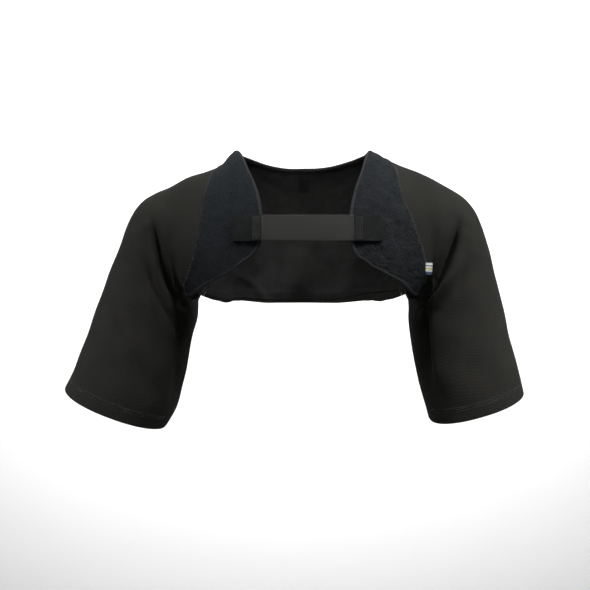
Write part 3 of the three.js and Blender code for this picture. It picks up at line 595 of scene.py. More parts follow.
def dashes(name, lines, size, thread):
    # short capsules end to end along each line, their ends drawn into the cloth
    profile = np.array([0.15, 0.85, 1.0, 0.85, 0.15])
    dive = np.array([-1.0, -0.2, 0.0, -0.2, -1.0]) * size["sink"]
    turn = np.linspace(0, 2 * np.pi, 6)[:-1, None]
    share = size["length"] / size["pitch"]
    allRings = []
    for line, normals in lines:
        length = stepLengths(line[None], 1)[0]
        count = max(int(length[-1] / size["pitch"]), 1)
        inside = (1 - share) / 2 + share * np.linspace(0, 1, len(profile))
        at = (np.arange(count)[:, None] + inside) / count * length[-1]
        centre, normal = atLengths(at, length, line), unit(atLengths(at, length, normals))
        binormal = unit(np.cross(unit(np.gradient(centre, axis=1)), normal))
        centre = centre + normal * dive[:, None]
        outline = np.cos(turn) * normal[:, :, None] + np.sin(turn) * binormal[:, :, None]
        allRings.append(centre[:, :, None] + size["radius"] * profile[:, None, None] * outline)
    rings = np.concatenate(allRings)
    count, stations, sides = rings.shape[:3]
    i = np.arange(stations - 1)[:, None] * sides
    j = np.arange(sides)
    after = (j + 1) % sides
    quad = np.stack([i + j, i + after, i + sides + after, i + sides + j], -1)
    start = np.arange(count)[:, None, None] * stations * sides
    faces = (start + quad.reshape(1, -1, 4)).reshape(-1, 4)
    ends = np.concatenate([j[::-1], (stations - 1) * sides + j])
    caps = (start[:, 0] + ends).reshape(-1, sides)
    points = rings.reshape(-1, 3)
    uv = points[faces][..., [0, 2]] / 1000
    return makePiece(name, points, faces, uv, thread, list(caps))


# Materials

bandScale = 0.318  # scale of a wave texture that gives one band a cell


def newMaterial(name, roughness, sheen, sheenTint, specular):
    material = bpy.data.materials.new(name)
    material.use_nodes = True
    shader = material.node_tree.nodes["Principled BSDF"]
    values = {
        "Roughness": roughness, "Specular IOR Level": specular, "Sheen Weight": sheen,
        "Sheen Roughness": 0.45, "Sheen Tint": (*sheenTint, 1),
    }
    for key, value in values.items():
        shader.inputs[key].default_value = value
    return material, shader


def addNode(material, kind, **values):
    # values are inputs by name, with _ for a space, or settings of the node itself
    node = material.node_tree.nodes.new("ShaderNode" + kind)
    for key, value in values.items():
        if hasattr(node, key):
            setattr(node, key, value)
        else:
            node.inputs[key.replace("_", " ")].default_value = value
    return node


def join(material, output, target):
    material.node_tree.links.new(output, target)


def scaledUv(material, width, height, turn=0.0):
    # the piece's own map in metres, turned, then counted in cells of the given size in mm
    source = addNode(material, "UVMap", uv_map="UVMap")
    mapping = addNode(material, "Mapping", vector_type="TEXTURE")
    mapping.inputs["Scale"].default_value = (width / 1000, height / 1000, 1)
    mapping.inputs["Rotation"].default_value = (0, 0, turn)
    join(material, source.outputs["UV"], mapping.inputs["Vector"])
    return mapping.outputs["Vector"]


def textureVector(material, cell):
    # the object's own coordinates, or the piece's map in cells: width, height and turn
    if cell is None:
        return addNode(material, "TexCoord").outputs["Object"]
    return scaledUv(material, *cell)


def blend(material, kind, first, second):
    # arithmetic on two values, each an output or a number
    node = addNode(material, "Math", operation=kind)
    for socket, value in zip(node.inputs, (first, second)):
        if isinstance(value, (int, float)):
            socket.default_value = value
        else:
            join(material, value, socket)
    return node.outputs[0]


def ramp(material, factor, stops, interpolation="LINEAR"):
    node = addNode(material, "ValToRGB")
    node.color_ramp.interpolation = interpolation
    elements = node.color_ramp.elements
    while len(elements) < len(stops):
        elements.new(0.5)
    for element, (position, colour) in zip(elements, stops):
        element.position = position
        element.color = (*colour, 1)
    join(material, factor, node.inputs["Fac"])
    return node.outputs["Color"]


def bump(material, shader, layers):
    # layers are heights with their depth in mm, laid over each other
    normal = None
    for height, depth in layers:
        node = addNode(material, "Bump", Strength=1.0, Distance=depth / 1000)
        join(material, height, node.inputs["Height"])
        if normal is not None:
            join(material, normal, node.inputs["Normal"])
        normal = node.outputs["Normal"]
    join(material, normal, shader.inputs["Normal"])


def noisePart(cell, scale, detail=3.0, roughness=0.55):
    return "TexNoise", cell, {"Scale": scale, "Detail": detail, "Roughness": roughness}


def wavePart(width, height, turn=0.0, **values):
    # one band a cell
    return "TexWave", (width, height, turn), {"Scale": bandScale, **values}


def makePart(material, made, kind, first, second):
    # the product of an earlier part with another or a number, the map's height, or a texture
    if kind == "product":
        return blend(material, "MULTIPLY", made[first], made.get(second, second))
    if kind == "height":
        split = addNode(material, "SeparateXYZ")
        source = addNode(material, "UVMap", uv_map="UVMap")
        join(material, source.outputs["UV"], split.inputs["Vector"])
        return split.outputs["Y"]
    node = addNode(material, kind, **second)
    join(material, textureVector(material, first), node.inputs["Vector"])
    return node.outputs["Distance" if kind == "TexVoronoi" else "Fac"]


def clothMaterial(name, look):
    # surface is the roughness, sheen, its tint and the specular level. The mix adds up parts
    # by their shares, colours are the ramp that it runs through, and shade is a part with a
    # ramp that the colour is multiplied with. Relief gives parts with their depths in mm.
    material, shader = newMaterial(name, *look["surface"])
    made = {}
    for part, row in look["parts"].items():
        made[part] = makePart(material, made, *row)
    mixed = 0.0
    for part, share in look["mix"].items():
        mixed = blend(material, "ADD", mixed, blend(material, "MULTIPLY", made[part], share))
    colour = ramp(material, mixed, look["colours"], look.get("interpolation", "LINEAR"))
    if "shade" in look:
        part, stops = look["shade"]
        node = addNode(material, "Mix", data_type="RGBA", blend_type="MULTIPLY")
        node.inputs[0].default_value = 1.0
        join(material, colour, node.inputs[6])
        join(material, ramp(material, made[part], stops), node.inputs[7])
        colour = node.outputs[2]
    join(material, colour, shader.inputs["Base Color"])
    bump(material, shader, [(made[part], depth) for part, depth in look["relief"].items()])
    return material


perMm = (1, 1, 0.0)

# close knit: slanted ribs that break up into short dashes, under a thin nap
fleece = clothMaterial("bondedKnit", {
    "surface": (0.95, 0.02, (0.8, 0.8, 0.75), 0.06),
    "parts": {
        "ribs": wavePart(
            2.2, 2.2, -0.28, bands_direction="Y", Distortion=1.5, Detail=2.0, Detail_Scale=0.6),
        "dashes": noisePart((5.5, 2.2, -0.28), 1.0, 2.0, 0.5),
        "knit": ("product", "ribs", "dashes"),
        "nap": noisePart(perMm, 0.8, 4.0, 0.7),
        "patches": noisePart(None, 16.0, 4.0),
    },
    "mix": {"knit": 0.5, "nap": 0.5},
    "colours": [(0.15, (0.0080, 0.0080, 0.0074)), (0.65, (0.0205, 0.0205, 0.0188))],
    "shade": ("patches", [(0.3, (0.86, 0.87, 0.86)), (0.7, (1.1, 1.08, 1.03))]),
    "relief": {"knit": 0.35, "nap": 0.25},
})


def loopLook(dark, light, matting):
    # brushed loops: round tufts of uneven size, matted in patches; the colour is painted lighter at
    # each tuft's tip (painted highlight) and darker between tufts (painted shade)
    return {
        "surface": (1.0, 0.03, (0.7, 0.8, 0.9), 0.05),
        "parts": {
            "tufts": ("TexVoronoi", (2.6, 2.6, 0.0), {
                "feature": "SMOOTH_F1", "Scale": 1.0, "Smoothness": 0.4,
                "voronoi_dimensions": "2D",
            }),
            "hollows": ("product", "tufts", -1.0),
            "fibre": noisePart(perMm, 0.9, 5.0, 0.75),
            "patches": noisePart(None, 75.0, 3.0, 0.7),
        },
        # tufts share: painted highlight on the tufts' tips, painted shade in the hollows between
        # them
        "mix": {"fibre": 0.6, "patches": matting, "tufts": -0.3},
        "colours": [(0.16, dark), (0.62, light)],
        "relief": {"hollows": 0.8, "fibre": 0.5, "patches": 2.0 * matting},
    }


# one loop cloth in two tones: the left flap's colours are lighter (painted light) and the right
# flap's darker (painted shade), so each flap comes out at its own brightness under these lamps; the
# right flap's heavier matting is real wear
litSmoothLoops = clothMaterial(
    "litSmoothLoops", loopLook((0.0049, 0.0058, 0.0064), (0.0202, 0.0233, 0.0264), 0.25))
wornLoops = clothMaterial(
    "wornLoops", loopLook((0.0021, 0.0023, 0.0026), (0.0141, 0.0157, 0.0174), 0.6))

# smooth tricot: fine wales with a faint slant, worn a little smoother in patches
lining = clothMaterial("tricotLining", {
    "surface": (0.9, 0.02, (0.8, 0.8, 0.8), 0.06),
    "parts": {
        "wales": wavePart(0.7, 2.1, 0.12, Scale=0.32, Distortion=0.6, Detail=1.0),
        "patches": noisePart(None, 34.0, 5.0, 0.65),
    },
    "mix": {"patches": 0.75, "wales": 0.2},
    "colours": [(0.25, (0.0069, 0.0068, 0.0067)), (0.75, (0.0188, 0.0185, 0.0180))],
    "relief": {"patches": 2.2, "wales": 0.12},
})

# woven elastic: ribs across the strap, crossed by finer warp lines
elastic = clothMaterial("wovenElastic", {
    "surface": (0.85, 0.02, (0.85, 0.85, 0.8), 0.06),
    "parts": {
        "ribs": wavePart(13.0, 1.3, bands_direction="Y"),
        "warp": wavePart(0.9, 9.0, Distortion=0.4),
        "weave": ("product", "ribs", "warp"),
        "grain": noisePart(perMm, 1.5, 4.0, 0.7),
    },
    "mix": {"weave": 0.45, "grain": 0.6},
    "colours": [(0.2, (0.0135, 0.0135, 0.0126)), (0.8, (0.0530, 0.0530, 0.0495))],
    "relief": {"ribs": 0.25, "warp": 0.15, "grain": 0.1},
})


def tapeLook(dark, light):
    # folded knit tape: fine slanted ribs and a little fuzz
    return {
        "surface": (0.85, 0.02, (0.8, 0.82, 0.88), 0.1),
        "parts": {
            "ribs": wavePart(0.8, 0.8, 0.6, Distortion=0.5, Detail=1.0),
            "fuzz": noisePart(perMm, 1.8, 4.0, 0.7),
        },
        "mix": {"ribs": 0.3, "fuzz": 0.7},
        "colours": [(0.25, dark), (0.75, light)],
        "relief": {"ribs": 0.12, "fuzz": 0.15},
    }


edgeTape = clothMaterial(
    "edgeTape", tapeLook((0.0090, 0.0092, 0.0100), (0.0275, 0.0280, 0.0300)))
neckTape = clothMaterial(
    "neckTape", tapeLook((0.0040, 0.0040, 0.0040), (0.0130, 0.0130, 0.0128)))

# felted hook tab: short dense fibres, faint mottling
felt = clothMaterial("feltedTab", {
    "surface": (0.9, 0.01, (0.8, 0.85, 0.85), 0.05),
    "parts": {
        "fibre": noisePart(perMm, 1.4, 5.0, 0.75),
        "mottle": noisePart(None, 90.0, 3.0),
    },
    "mix": {"fibre": 0.6, "mottle": 0.4},
    "colours": [(0.3, (0.0044, 0.0047, 0.0048)), (0.7, (0.0130, 0.0139, 0.0141))],
    "relief": {"fibre": 0.2, "mottle": 0.3},
})


def threadMaterial(name, dark, light):
    # twisted thread: thin slanted bands
    twist = {"Scale": 900.0, "Distortion": 0.3, "bands_direction": "DIAGONAL"}
    return clothMaterial(name, {
        "surface": (0.6, 0.0, (1, 1, 1), 0.2),
        "parts": {"twist": ("TexWave", None, twist)},
        "mix": {"twist": 1.0},
        "colours": [(0.2, dark), (0.8, light)],
        "relief": {"twist": 0.08},
    })


darkThread = threadMaterial("darkThread", (0.006, 0.006, 0.006), (0.020, 0.020, 0.019))
seamThread = threadMaterial("seamThread", (0.013, 0.014, 0.015), (0.044, 0.046, 0.048))
greyThread = threadMaterial("greyThread", (0.016, 0.016, 0.016), (0.054, 0.054, 0.053))

# black satin: very fine crosswise threads
satin = clothMaterial("satinLabel", {
    "surface": (0.6, 0.0, (1, 1, 1), 0.15),
    "parts": {
        "threads": wavePart(4.0, 0.4, bands_direction="Y", Distortion=0.2),
        "grain": noisePart(perMm, 2.0, 3.0),
    },
    "mix": {"threads": 0.5, "grain": 0.5},
    "colours": [(0.2, (0.0012, 0.0012, 0.0012)), (0.8, (0.0042, 0.0042, 0.0044))],
    "relief": {"threads": 0.06},
})

# woven tag: plain stripes across it, with the weave's own ribs
blue, pale = (0.07, 0.11, 0.19), (0.60, 0.61, 0.59)
straw, black = (0.55, 0.48, 0.12), (0.03, 0.04, 0.06)
tagWeave = clothMaterial("wovenTag", {
    "surface": (0.7, 0.05, (1, 1, 1), 0.3),
    "parts": {
        "down": ("height", None, None),
        "ribs": wavePart(5.0, 0.5, bands_direction="Y"),
    },
    "mix": {"down": 55.0},
    "colours": [
        (0.0, black), (0.08, pale), (0.26, blue), (0.36, pale),
        (0.5, straw), (0.64, pale), (0.86, blue),
    ],
    "interpolation": "CONSTANT",
    "shade": ("ribs", [(0.0, (0.7, 0.7, 0.7)), (1.0, (1.1, 1.1, 1.1))]),
    "relief": {"ribs": 0.1},
})
print("stage: materials made")

# Sleeves

sleeveLook = {
    "columns": 176, "strips": 92, "joinRows": 10, "bodyRows": 116, "crowding": 1.25,
    "settling": 5,  # how fast the rings' columns turn even
    "hem": 21.0, "hemRamp": 1.6, "stitchLines": (18.4, 21.4), "stitchDent": 0.5, "dentWidth": 0.8,
    "pucker": 0.16, "puckerLength": 6.5, "puckerDrift": 37, "puckerZone": 5, "hemZone": 26.0,
    "hemFromU": 1.5,
}
# mm above the sleeve's hem: rows over the turned-up cloth, close under the stitch lines
sleeveHemRows = np.concatenate([
    np.arange(sleeveLook["hemZone"], 23.2, -1.4), np.arange(23.2, 16.4, -0.42),
    np.arange(16.4, 3.2, -1.5), [3.2, 2.5, 1.9, 1.3, 0.8, 0.4, 0.12, 0.0],
])


def stageRows(count):
    # stages down the seams: fine at both ends, even steps between
    ends = rimOffsets / garment["armholeDepth"]
    body = np.linspace(ends[-1], 1 - ends[-1], count + 2)[1:-1]
    return np.concatenate([ends, body, 1 - ends[::-1]])


def lengthPerU(side, v):
    step = 0.05
    near = clothBase(side, 2.0 + 0 * v, v)[0] - clothBase(side, 2.0 - step + 0 * v, v)[0]
    return np.linalg.norm(near, axis=-1) / step


def hemU(side, v, offset):
    # the place along u that lies a distance in mm above the hem
    return 2 - offset / lengthPerU(side, v)


def sleeveGrid(side):
    # strips over the shoulder, rows that draw together under the arm in an ellipse, rings
    look, layout = sleeveLook, sleeveLayout
    stages = stageRows(look["strips"])
    strips = stripPlace(side)
    shares = evenShares(strips, stages, look["columns"], garment["seamGap"], garment["seamGap"])
    stage = np.broadcast_to(stages[:, None], shares.shape)
    _, stripU, stripV = strips(stage, shares)
    turn = np.linspace(0, np.pi / 2, look["joinRows"] + 1)[1:, None]
    last = shares[-1]
    start, closing = np.sin(turn), np.cos(turn)
    ring = layout["ringStart"]
    endU = np.where(last < 0.5, stripU[-1, 0], stripU[-1, -1])
    endU = endU + (ring - endU) * start
    middle = layout["stripsEnd"] + (ring - layout["stripsEnd"]) * start
    even = (last - last[0]) / (last[-1] - last[0])
    joinU = middle + (endU - middle) * (2 * even - 1) ** layout["flatness"]
    lowV, highV = stripV[-1, 0] * closing, 1 - (1 - stripV[-1, -1]) * closing
    joinV = lowV + (highV - lowV) * even
    joinU[-1] = ring
    flat = np.linspace(0, 1, len(even))
    body = np.linspace(0, 1, look["bodyRows"] + 1)[1:, None] ** look["crowding"]
    ringV = even + (flat - even) * np.clip(body * look["settling"], 0, 1)
    ringU = ring + (hemU(side, flat, look["hemZone"]) - ring) * body
    footV = np.broadcast_to(flat, (len(sleeveHemRows) - 1, len(flat)))
    footU = hemU(side, flat, sleeveHemRows[1:, None])
    u = np.vstack([stripU, joinU, ringU, footU])
    v = np.vstack([stripV, joinV, ringV, footV])
    return u, v, len(stages) + look["joinRows"] - 1


def puckers(look, along, strength=2.0):
    # a sine whose phase wanders as another sine
    wander = strength * np.sin(along / look["puckerDrift"])
    return look["pucker"] * np.sin(2 * np.pi * along / look["puckerLength"] + wander)


def hemRelief(look, around, fromFoot):
    # puckers that fade as a bell above and below the stitch lines, and a dent at each line
    offset = (fromFoot - np.mean(look["stitchLines"])) / look["puckerZone"]
    relief = puckers(look, around) * np.exp(-offset ** 2)
    for line in look["stitchLines"]:
        relief -= look["stitchDent"] * np.exp(-((fromFoot - line) / look["dentWidth"]) ** 2)
    return relief


def turnedUp(look, fromFoot):
    # the inner face, one wall further in along the turned-up hem
    inHem = np.clip((look["hem"] + look["hemRamp"] - fromFoot) / look["hemRamp"], 0, 1)
    return -garment["wall"] * smoothStep(inHem)


def makeSleeve(name, side):
    look = sleeveLook
    u, v, ringFrom = sleeveGrid(side)
    base, normal = clothBase(side, u, v)
    base[ringFrom:, -1], normal[ringFrom:, -1] = base[ringFrom:, 0], normal[ringFrom:, 0]
    distance, fromFoot = edgeDistance(base, ringFrom)
    relief = hemRelief(look, stepLengths(base, 1), fromFoot) * (u > look["hemFromU"])
    high = garment["wall"] + relief
    outer, inner = roundedFaces(base, normal, turnedUp(look, fromFoot), high, distance)
    knitUv = clothUv(side, u, v)
    piece = closedSheet(name + "_knit", outer, inner, fleece, "fleece", ringFrom, knitUv)
    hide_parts(name)
    return piece


leftSleeve = makeSleeve("left_sleeve", -1)
rightSleeve = makeSleeve("right_sleeve", 1)
print("stage: sleeves made")

# Back panel and its lining

backLook = {
    "columns": 200, "rows": 76, "hem": 17.0, "hemRamp": 1.6, "hemZone": 19.4,
    "stitchLines": (13.2, 15.6), "stitchDent": 0.4, "dentWidth": 0.7,
    "pucker": 0.14, "puckerLength": 6.0, "puckerDrift": 31, "puckerZone": 5,
}
# mm above the back's hem, close under the stitch lines
backHemRows = np.concatenate([
    np.arange(backLook["hemZone"] - 0.45, 11.5, -0.45), np.arange(10.8, 2.6, -1.5),
])


def backStages():
    depth = garment["armholeDepth"]
    rim = rimOffsets / depth
    body = np.linspace(rim[-1], 1 - backLook["hemZone"] / depth, backLook["rows"] + 1)[1:]
    return np.concatenate([rim, body, 1 - backHemRows / depth, 1 - rim[::-1]])


def sheetOn(placeOf, stages, count, gapStart, gapEnd):
    # the cloth under a grid of rows at the given stages
    shares = evenShares(placeOf, stages, count, gapStart, gapEnd)
    stage = np.broadcast_to(stages[:, None], shares.shape)
    base, normal = clothBase(*placeOf(stage, shares))
    return base, normal, shares


def makeBack():
    look, gap = backLook, garment["seamGap"]
    base, normal, _ = sheetOn(backPlace, backStages(), look["columns"], gap, gap)
    distance, fromFoot = edgeDistance(base)
    relief = hemRelief(look, stepLengths(base, 1), fromFoot)
    low = turnedUp(look, fromFoot) - relief
    outer, inner = roundedFaces(base, normal, low, garment["wall"] + relief, distance)
    piece = closedSheet("back_knit", outer, inner, fleece, "fleece")
    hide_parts("back_panel")
    return piece


liningLook = {
    "columns": 170, "rows": 84,
    "foot": 4.5, "footRight": 17.5, "riseFrom": 0.58, "riseTo": 0.97,  # mm above the hem's edge
    "step": 3.5,  # over the hem's upper edge
    "rim": 9,  # mm from its edges, where the folds fade
}

# soft folds of the lining as seen from the front: x, z, to x, to z, height, width, bow
liningFolds = np.array([
    [-112, -186, -62, -232, 4.6, 7.5, 8],
    [-84, -190, -30, -226, 1.8, 10.0, 4],
    [-50, -196, 20, -212, 1.3, 12.0, 0],
    [104, -198, 44, -226, 2.2, 9.0, -4],
    [-92, -30, -52, -58, 1.8, 6.0, 2],
    [-70, -26, -20, -48, 1.4, 6.0, 0],
    [88, -36, 54, -66, 2.2, 6.0, -2],
    [96, -62, 60, -84, 1.4, 7.0, 0],
    [-30, -66, -38, -110, 1.2, 9.0, 0],
    [30, -60, 44, -104, 1.0, 10.0, 0],
])


def liningSwell(point):
    seen = point[..., [0, 2]]
    swell = np.zeros(point.shape[:-1])
    for row in liningFolds:
        swell += row[4] * foldBell(seen, row[:2], row[2:4], row[5], bow=row[6])
    return swell


def liningFoot(share):
    # the lining hangs over the turned-up hem, and draws back from it towards the right
    look = liningLook
    rise = np.clip((share - look["riseFrom"]) / (look["riseTo"] - look["riseFrom"]), 0, 1)
    return look["foot"] + (look["footRight"] - look["foot"]) * smoothStep(rise)


def liningPlace(stage, share):
    return backPlace(stage * (1 - liningFoot(share) / garment["armholeDepth"]), share)


def makeLining():
    look, gap = liningLook, garment["gap"]
    stages = stageRows(look["rows"])
    base, normal, shares = sheetOn(liningPlace, stages, look["columns"], gap, gap)
    distance, fromFoot = edgeDistance(base)
    above = fromFoot + liningFoot(shares)
    overHem = smoothStep(np.clip((backLook["hem"] + look["step"] - above) / look["step"], 0, 1))
    hemPush = (garment["wall"] + backLook["pucker"]) * overHem
    swell = liningSwell(base) * np.clip(distance / look["rim"], 0, 1)
    low = -gap - garment["liningWall"] - swell - hemPush
    outer, inner = roundedFaces(base, normal, low, low + garment["liningWall"], distance)
    piece = closedSheet("back_tricot", outer, inner, lining, "lining")
    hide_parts("back_lining")
    return piece


back = makeBack()
backLining = makeLining()
print("stage: back made")

# Front flaps

flapLook = {
    "columns": 88, "rows": 160, "pileRim": 3,
    "tuft": 2.1, "clump": 5.5,  # mm across
    "left": {"pile": 0.35, "clumps": 0.35, "material": litSmoothLoops},
    "right": {"pile": 0.5, "clumps": 1.0, "material": wornLoops},
}


def valueNoise(flat, cell, seed):
    # random values at whole numbers of cells, blended between them with a smooth step
    size = 97
    table = np.random.default_rng(seed).random((size, size))
    place = flat / cell
    whole = np.floor(place).astype(int)
    i, j = whole[..., 0], whole[..., 1]
    fx, fy = np.moveaxis(smoothStep(place - whole), -1, 0)
    pick = lambda a, b: table[(i + a) % size, (j + b) % size]
    top = pick(0, 0) + (pick(1, 0) - pick(0, 0)) * fx
    foot = pick(0, 1) + (pick(1, 1) - pick(0, 1)) * fx
    return top + (foot - top) * fy - 0.5


def makeFlap(name, side):
    look, own = flapLook, flapLook[name]
    stages = stageRows(look["rows"])
    base, normal, _ = sheetOn(flapPlace(side), stages, look["columns"], garment["seamGap"], 0.0)
    distance, _ = edgeDistance(base)
    flat = flatUv(base) * 1000
    pile = own["pile"] * valueNoise(flat, look["tuft"], 3)
    pile = pile + own["clumps"] * valueNoise(flat, look["clump"], 5)
    high = garment["flapWall"] + pile * np.clip(distance / look["pileRim"], 0, 1)
    outer, inner = roundedFaces(base, normal, 0 * high, high, distance)
    piece = closedSheet(name + "_flap_loops", outer, inner, own["material"], "loop_cloth")
    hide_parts(name + "_front_flap")
    return piece


leftFlap = makeFlap("left", -1)
rightFlap = makeFlap("right", 1)
print("stage: flaps made")

# Bindings: a tape folded over an edge

tapeForm = {
    "width": 4.2, "thickness": 0.7, "clearance": 0.35, "arcSteps": 12, "flatSteps": 5,
    "stations": 240, "pucker": 0.12, "puckerLength": 5.5, "puckerDrift": 17, "endShare": 0.35,
}


def besides(line):
    # the direction to the left of each point of a plane line
    tangent = unit(np.gradient(line, axis=0))
    return np.stack([-tangent[:, 1], tangent[:, 0]], -1)


def foldedTape(high, low):
    # down the upper face, round the edge in a half circle, back along the lower face; the
    # tape's own two faces lie half its thickness to either side of that line
    look = tapeForm
    reach = (high - low) / 2 + look["clearance"] + look["thickness"] / 2
    centreX, centreY = look["clearance"] + look["thickness"] / 2 - reach, (high + low) / 2
    flat = np.linspace(-look["width"], centreX, look["flatSteps"] + 1)[:-1]
    turn = np.linspace(np.pi / 2, -np.pi / 2, look["arcSteps"])
    x = np.concatenate([flat, centreX + reach * np.cos(turn), flat[::-1]])
    rise = np.concatenate([0 * flat + 1, np.sin(turn), 0 * flat - 1])
    line = np.stack([x, centreY + reach * rise], -1)
    half = np.full((len(x), 1), look["thickness"] / 2)
    half[[0, -1]] *= look["endShare"]
    offset = besides(line) * half
    return np.concatenate([line + offset, (line - offset)[::-1]])


def tapePiece(name, node, edge, inside, high, low, material):
    # the outline's x runs outwards past the edge, and its y stands up from the cloth
    look = tapeForm
    outline = foldedTape(high, low)
    side, edgeU, edgeV = edge
    _, insideU, insideV = inside
    along = stepLengths(clothBase(*edge)[0][None], 1)[0]
    share = 1 + outline[:, 0] / look["width"]
    u = insideU[:, None] + (edgeU - insideU)[:, None] * share
    v = insideV[:, None] + (edgeV - insideV)[:, None] * share
    upward = np.sign(outline[:, 1] - (high + low) / 2)
    height = outline[:, 1] + puckers(look, along, 1.5)[:, None] * upward
    piece = tubeMesh(name, clothPoint(side[:, None], u, v, height), material)
    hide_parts(node)
    return piece


def flapEdge(side, inset=None):
    # the free edge, or a line a fixed distance inside it
    step = 0.1
    stages = np.linspace(0, 1, tapeForm["stations"])
    place = flapPlace(side)
    edge = place(stages, np.ones(len(stages)))
    if inset is None:
        return edge
    nearby = clothBase(*place(stages, np.full(len(stages), 1 - step)))[0]
    reach = np.linalg.norm(clothBase(*edge)[0] - nearby, axis=-1) / step
    return place(stages, 1 - np.minimum(inset / reach, 0.5))


def neckEdge(inset=None):
    # the neckline between the neck points, or the line square to it inside the back
    neckShare = garment["neckU"] / backSeamTable[0, 0]
    across = np.linspace(-neckShare, neckShare, tapeForm["stations"])
    side, u, v = backPlace(np.zeros(len(across)), (across + 1) / 2)
    if inset is None:
        return side, u, v
    here, byU, byV = slopes(side, u, v, 1e-3)
    inward = unit(np.cross(np.gradient(here, axis=0), np.cross(byU, byV)))
    inward = np.where(inward[:, 2:] > 0, -inward, inward)
    uu, uv, vv = (np.sum(a * b, -1) for a, b in ((byU, byU), (byU, byV), (byV, byV)))
    du, dv = np.sum(inward * byU, -1), np.sum(inward * byV, -1)
    det = uu * vv - uv * uv
    return side, u + inset * (du * vv - dv * uv) / det, v + inset * (dv * uu - du * uv) / det


width = tapeForm["width"]
liningFace = -garment["gap"] - garment["liningWall"]  # the lining's inner face
leftBinding = tapePiece(
    "left_edge_tape", "left_flap_binding", flapEdge(-1), flapEdge(-1, width),
    garment["flapWall"], 0.0, edgeTape)
rightBinding = tapePiece(
    "right_edge_tape", "right_flap_binding", flapEdge(1), flapEdge(1, width),
    garment["flapWall"], 0.0, edgeTape)
neckBinding = tapePiece(
    "neck_tape", "neck_binding", neckEdge(), neckEdge(width),
    garment["wall"], liningFace, neckTape)
print("stage: bindings made")

# Chest strap and tabs

strapLook = {
    "width": 38.0, "thickness": 1.6, "middle": -121.0, "left": -62.0, "right": 75.0,
    "overlap": 14.0, "columns": 150, "rows": 26, "guess": (0.3, 0.72), "rim": 0.8,
    "selvedge": 0.3, "selvedgeIn": 1.2, "selvedgeWidth": 0.7,
}
tabLook = {
    "width": 38.5, "layer": 0.9, "leftLength": 44.0, "rightLength": 47.0, "columns": 44,
    "rows": 34, "leftCorner": 6.0, "rightCorner": 18.0, "leftCut": 6.0, "rightCut": 11.0,
    "wedge": 1.9, "wedgeFrom": -2, "wedgeLength": 12, "fold": 0.6, "offFlap": 0.45,
}
tabBottom = garment["flapWall"] + tabLook["offFlap"] + tapeForm["thickness"] + 2 * garment["gap"]
strapBottom = tabBottom + tabLook["layer"] + garment["gap"]
strapTop = strapBottom + strapLook["thickness"]
tabTop = strapTop + garment["gap"] + tabLook["layer"]


def onChest(x, z):
    # the place on the cloth behind a point of the strap, z counted from its middle
    return placeAt(x, z + strapLook["middle"], strapLook["guess"])


def rimmedSteps(low, high, count, half):
    # even steps between two ends, with finer ones where the edge rounds off
    rim = np.array([0.0, 0.08, 0.3, 0.65, 1.0]) * half
    body = np.linspace(low + half, high - half, count + 2)[1:-1]
    return np.concatenate([low + rim, body, high - rim[::-1]])


def makeStrap():
    look = strapLook
    ends = look["left"] - look["overlap"], look["right"] + look["overlap"]
    x = rimmedSteps(*ends, look["columns"], look["rim"])
    z = rimmedSteps(-look["width"] / 2, look["width"] / 2, look["rows"], look["rim"])
    gridX, gridZ = np.meshgrid(x, z)
    base, normal = clothBase(*onChest(gridX, gridZ))
    fromSide = look["width"] / 2 - np.abs(gridZ)
    distance = np.minimum(fromSide, np.minimum(gridX - x[0], x[-1] - gridX))
    offset = (fromSide - look["selvedgeIn"]) / look["selvedgeWidth"]
    selvedge = look["selvedge"] * np.exp(-offset ** 2)
    outer, inner = roundedFaces(
        base, normal, strapBottom - selvedge, strapTop + selvedge, distance)
    piece = closedSheet("chest_elastic", outer, inner, elastic, "elastic")
    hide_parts("chest_strap")
    return piece


def makeTab(name, side):
    # a felted strip folded in two over the end of the elastic: its middle line runs in along
    # the upper layer, sinks past the elastic, turns round and comes back underneath
    look = tabLook
    length, corner = look[name + "Length"], look[name + "Corner"]
    half = look["layer"] / 2
    gridZ = rimmedSteps(-look["width"] / 2, look["width"] / 2, look["rows"], half)[None, :]
    slot = strapLook["overlap"] + garment["gap"]
    x = rimmedSteps(0, length, look["columns"], half)[:-4]
    sink = np.clip((x - slot - look["wedgeFrom"]) / look["wedgeLength"], 0, 1)
    upperY = tabTop - half - look["wedge"] * smoothStep(sink)
    lowerY = tabBottom + half
    radius = (upperY[-1] - lowerY) / 2
    turn = np.linspace(np.pi / 2, -np.pi / 2, 9)[1:-1]
    foldX = x[-1] + look["fold"] * radius * np.cos(turn)
    foldY = lowerY + radius + radius * np.sin(turn)
    lineX = np.concatenate([x, foldX, x[::-1]])
    lineY = np.concatenate([upperY, foldY, 0 * x + lowerY])
    aside = besides(np.stack([lineX, lineY], -1))
    fromEnd = np.concatenate([x, 0 * turn + length, x[::-1]])
    fromSide = look["width"] / 2 - np.abs(gridZ)
    distance = np.minimum(fromEnd[:, None], fromSide)
    wall = half * np.sqrt(1 - (1 - np.clip(distance / half, 0, 1)) ** 2)
    reach = np.clip((corner - fromSide) / corner, 0, 1)
    cut = look[name + "Cut"] * (1 - np.sqrt(1 - reach ** 2))
    faces = []
    for sign in (1, -1):
        px = lineX[:, None] + sign * aside[:, :1] * wall
        py = lineY[:, None] + sign * aside[:, 1:] * wall
        past = np.maximum(px - slot, 0) / (length - slot)
        seenX = strapLook[name] + side * (px - past * cut)
        faces.append(clothPoint(*onChest(seenX, gridZ + 0 * px), py))
    piece = closedSheet(name + "_hook_tab", *faces, felt, "tab")
    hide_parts(name + "_tab")
    return piece


strap = makeStrap()
leftTab = makeTab("left", -1)
rightTab = makeTab("right", 1)
print("stage: strap and tabs made")

# Labels

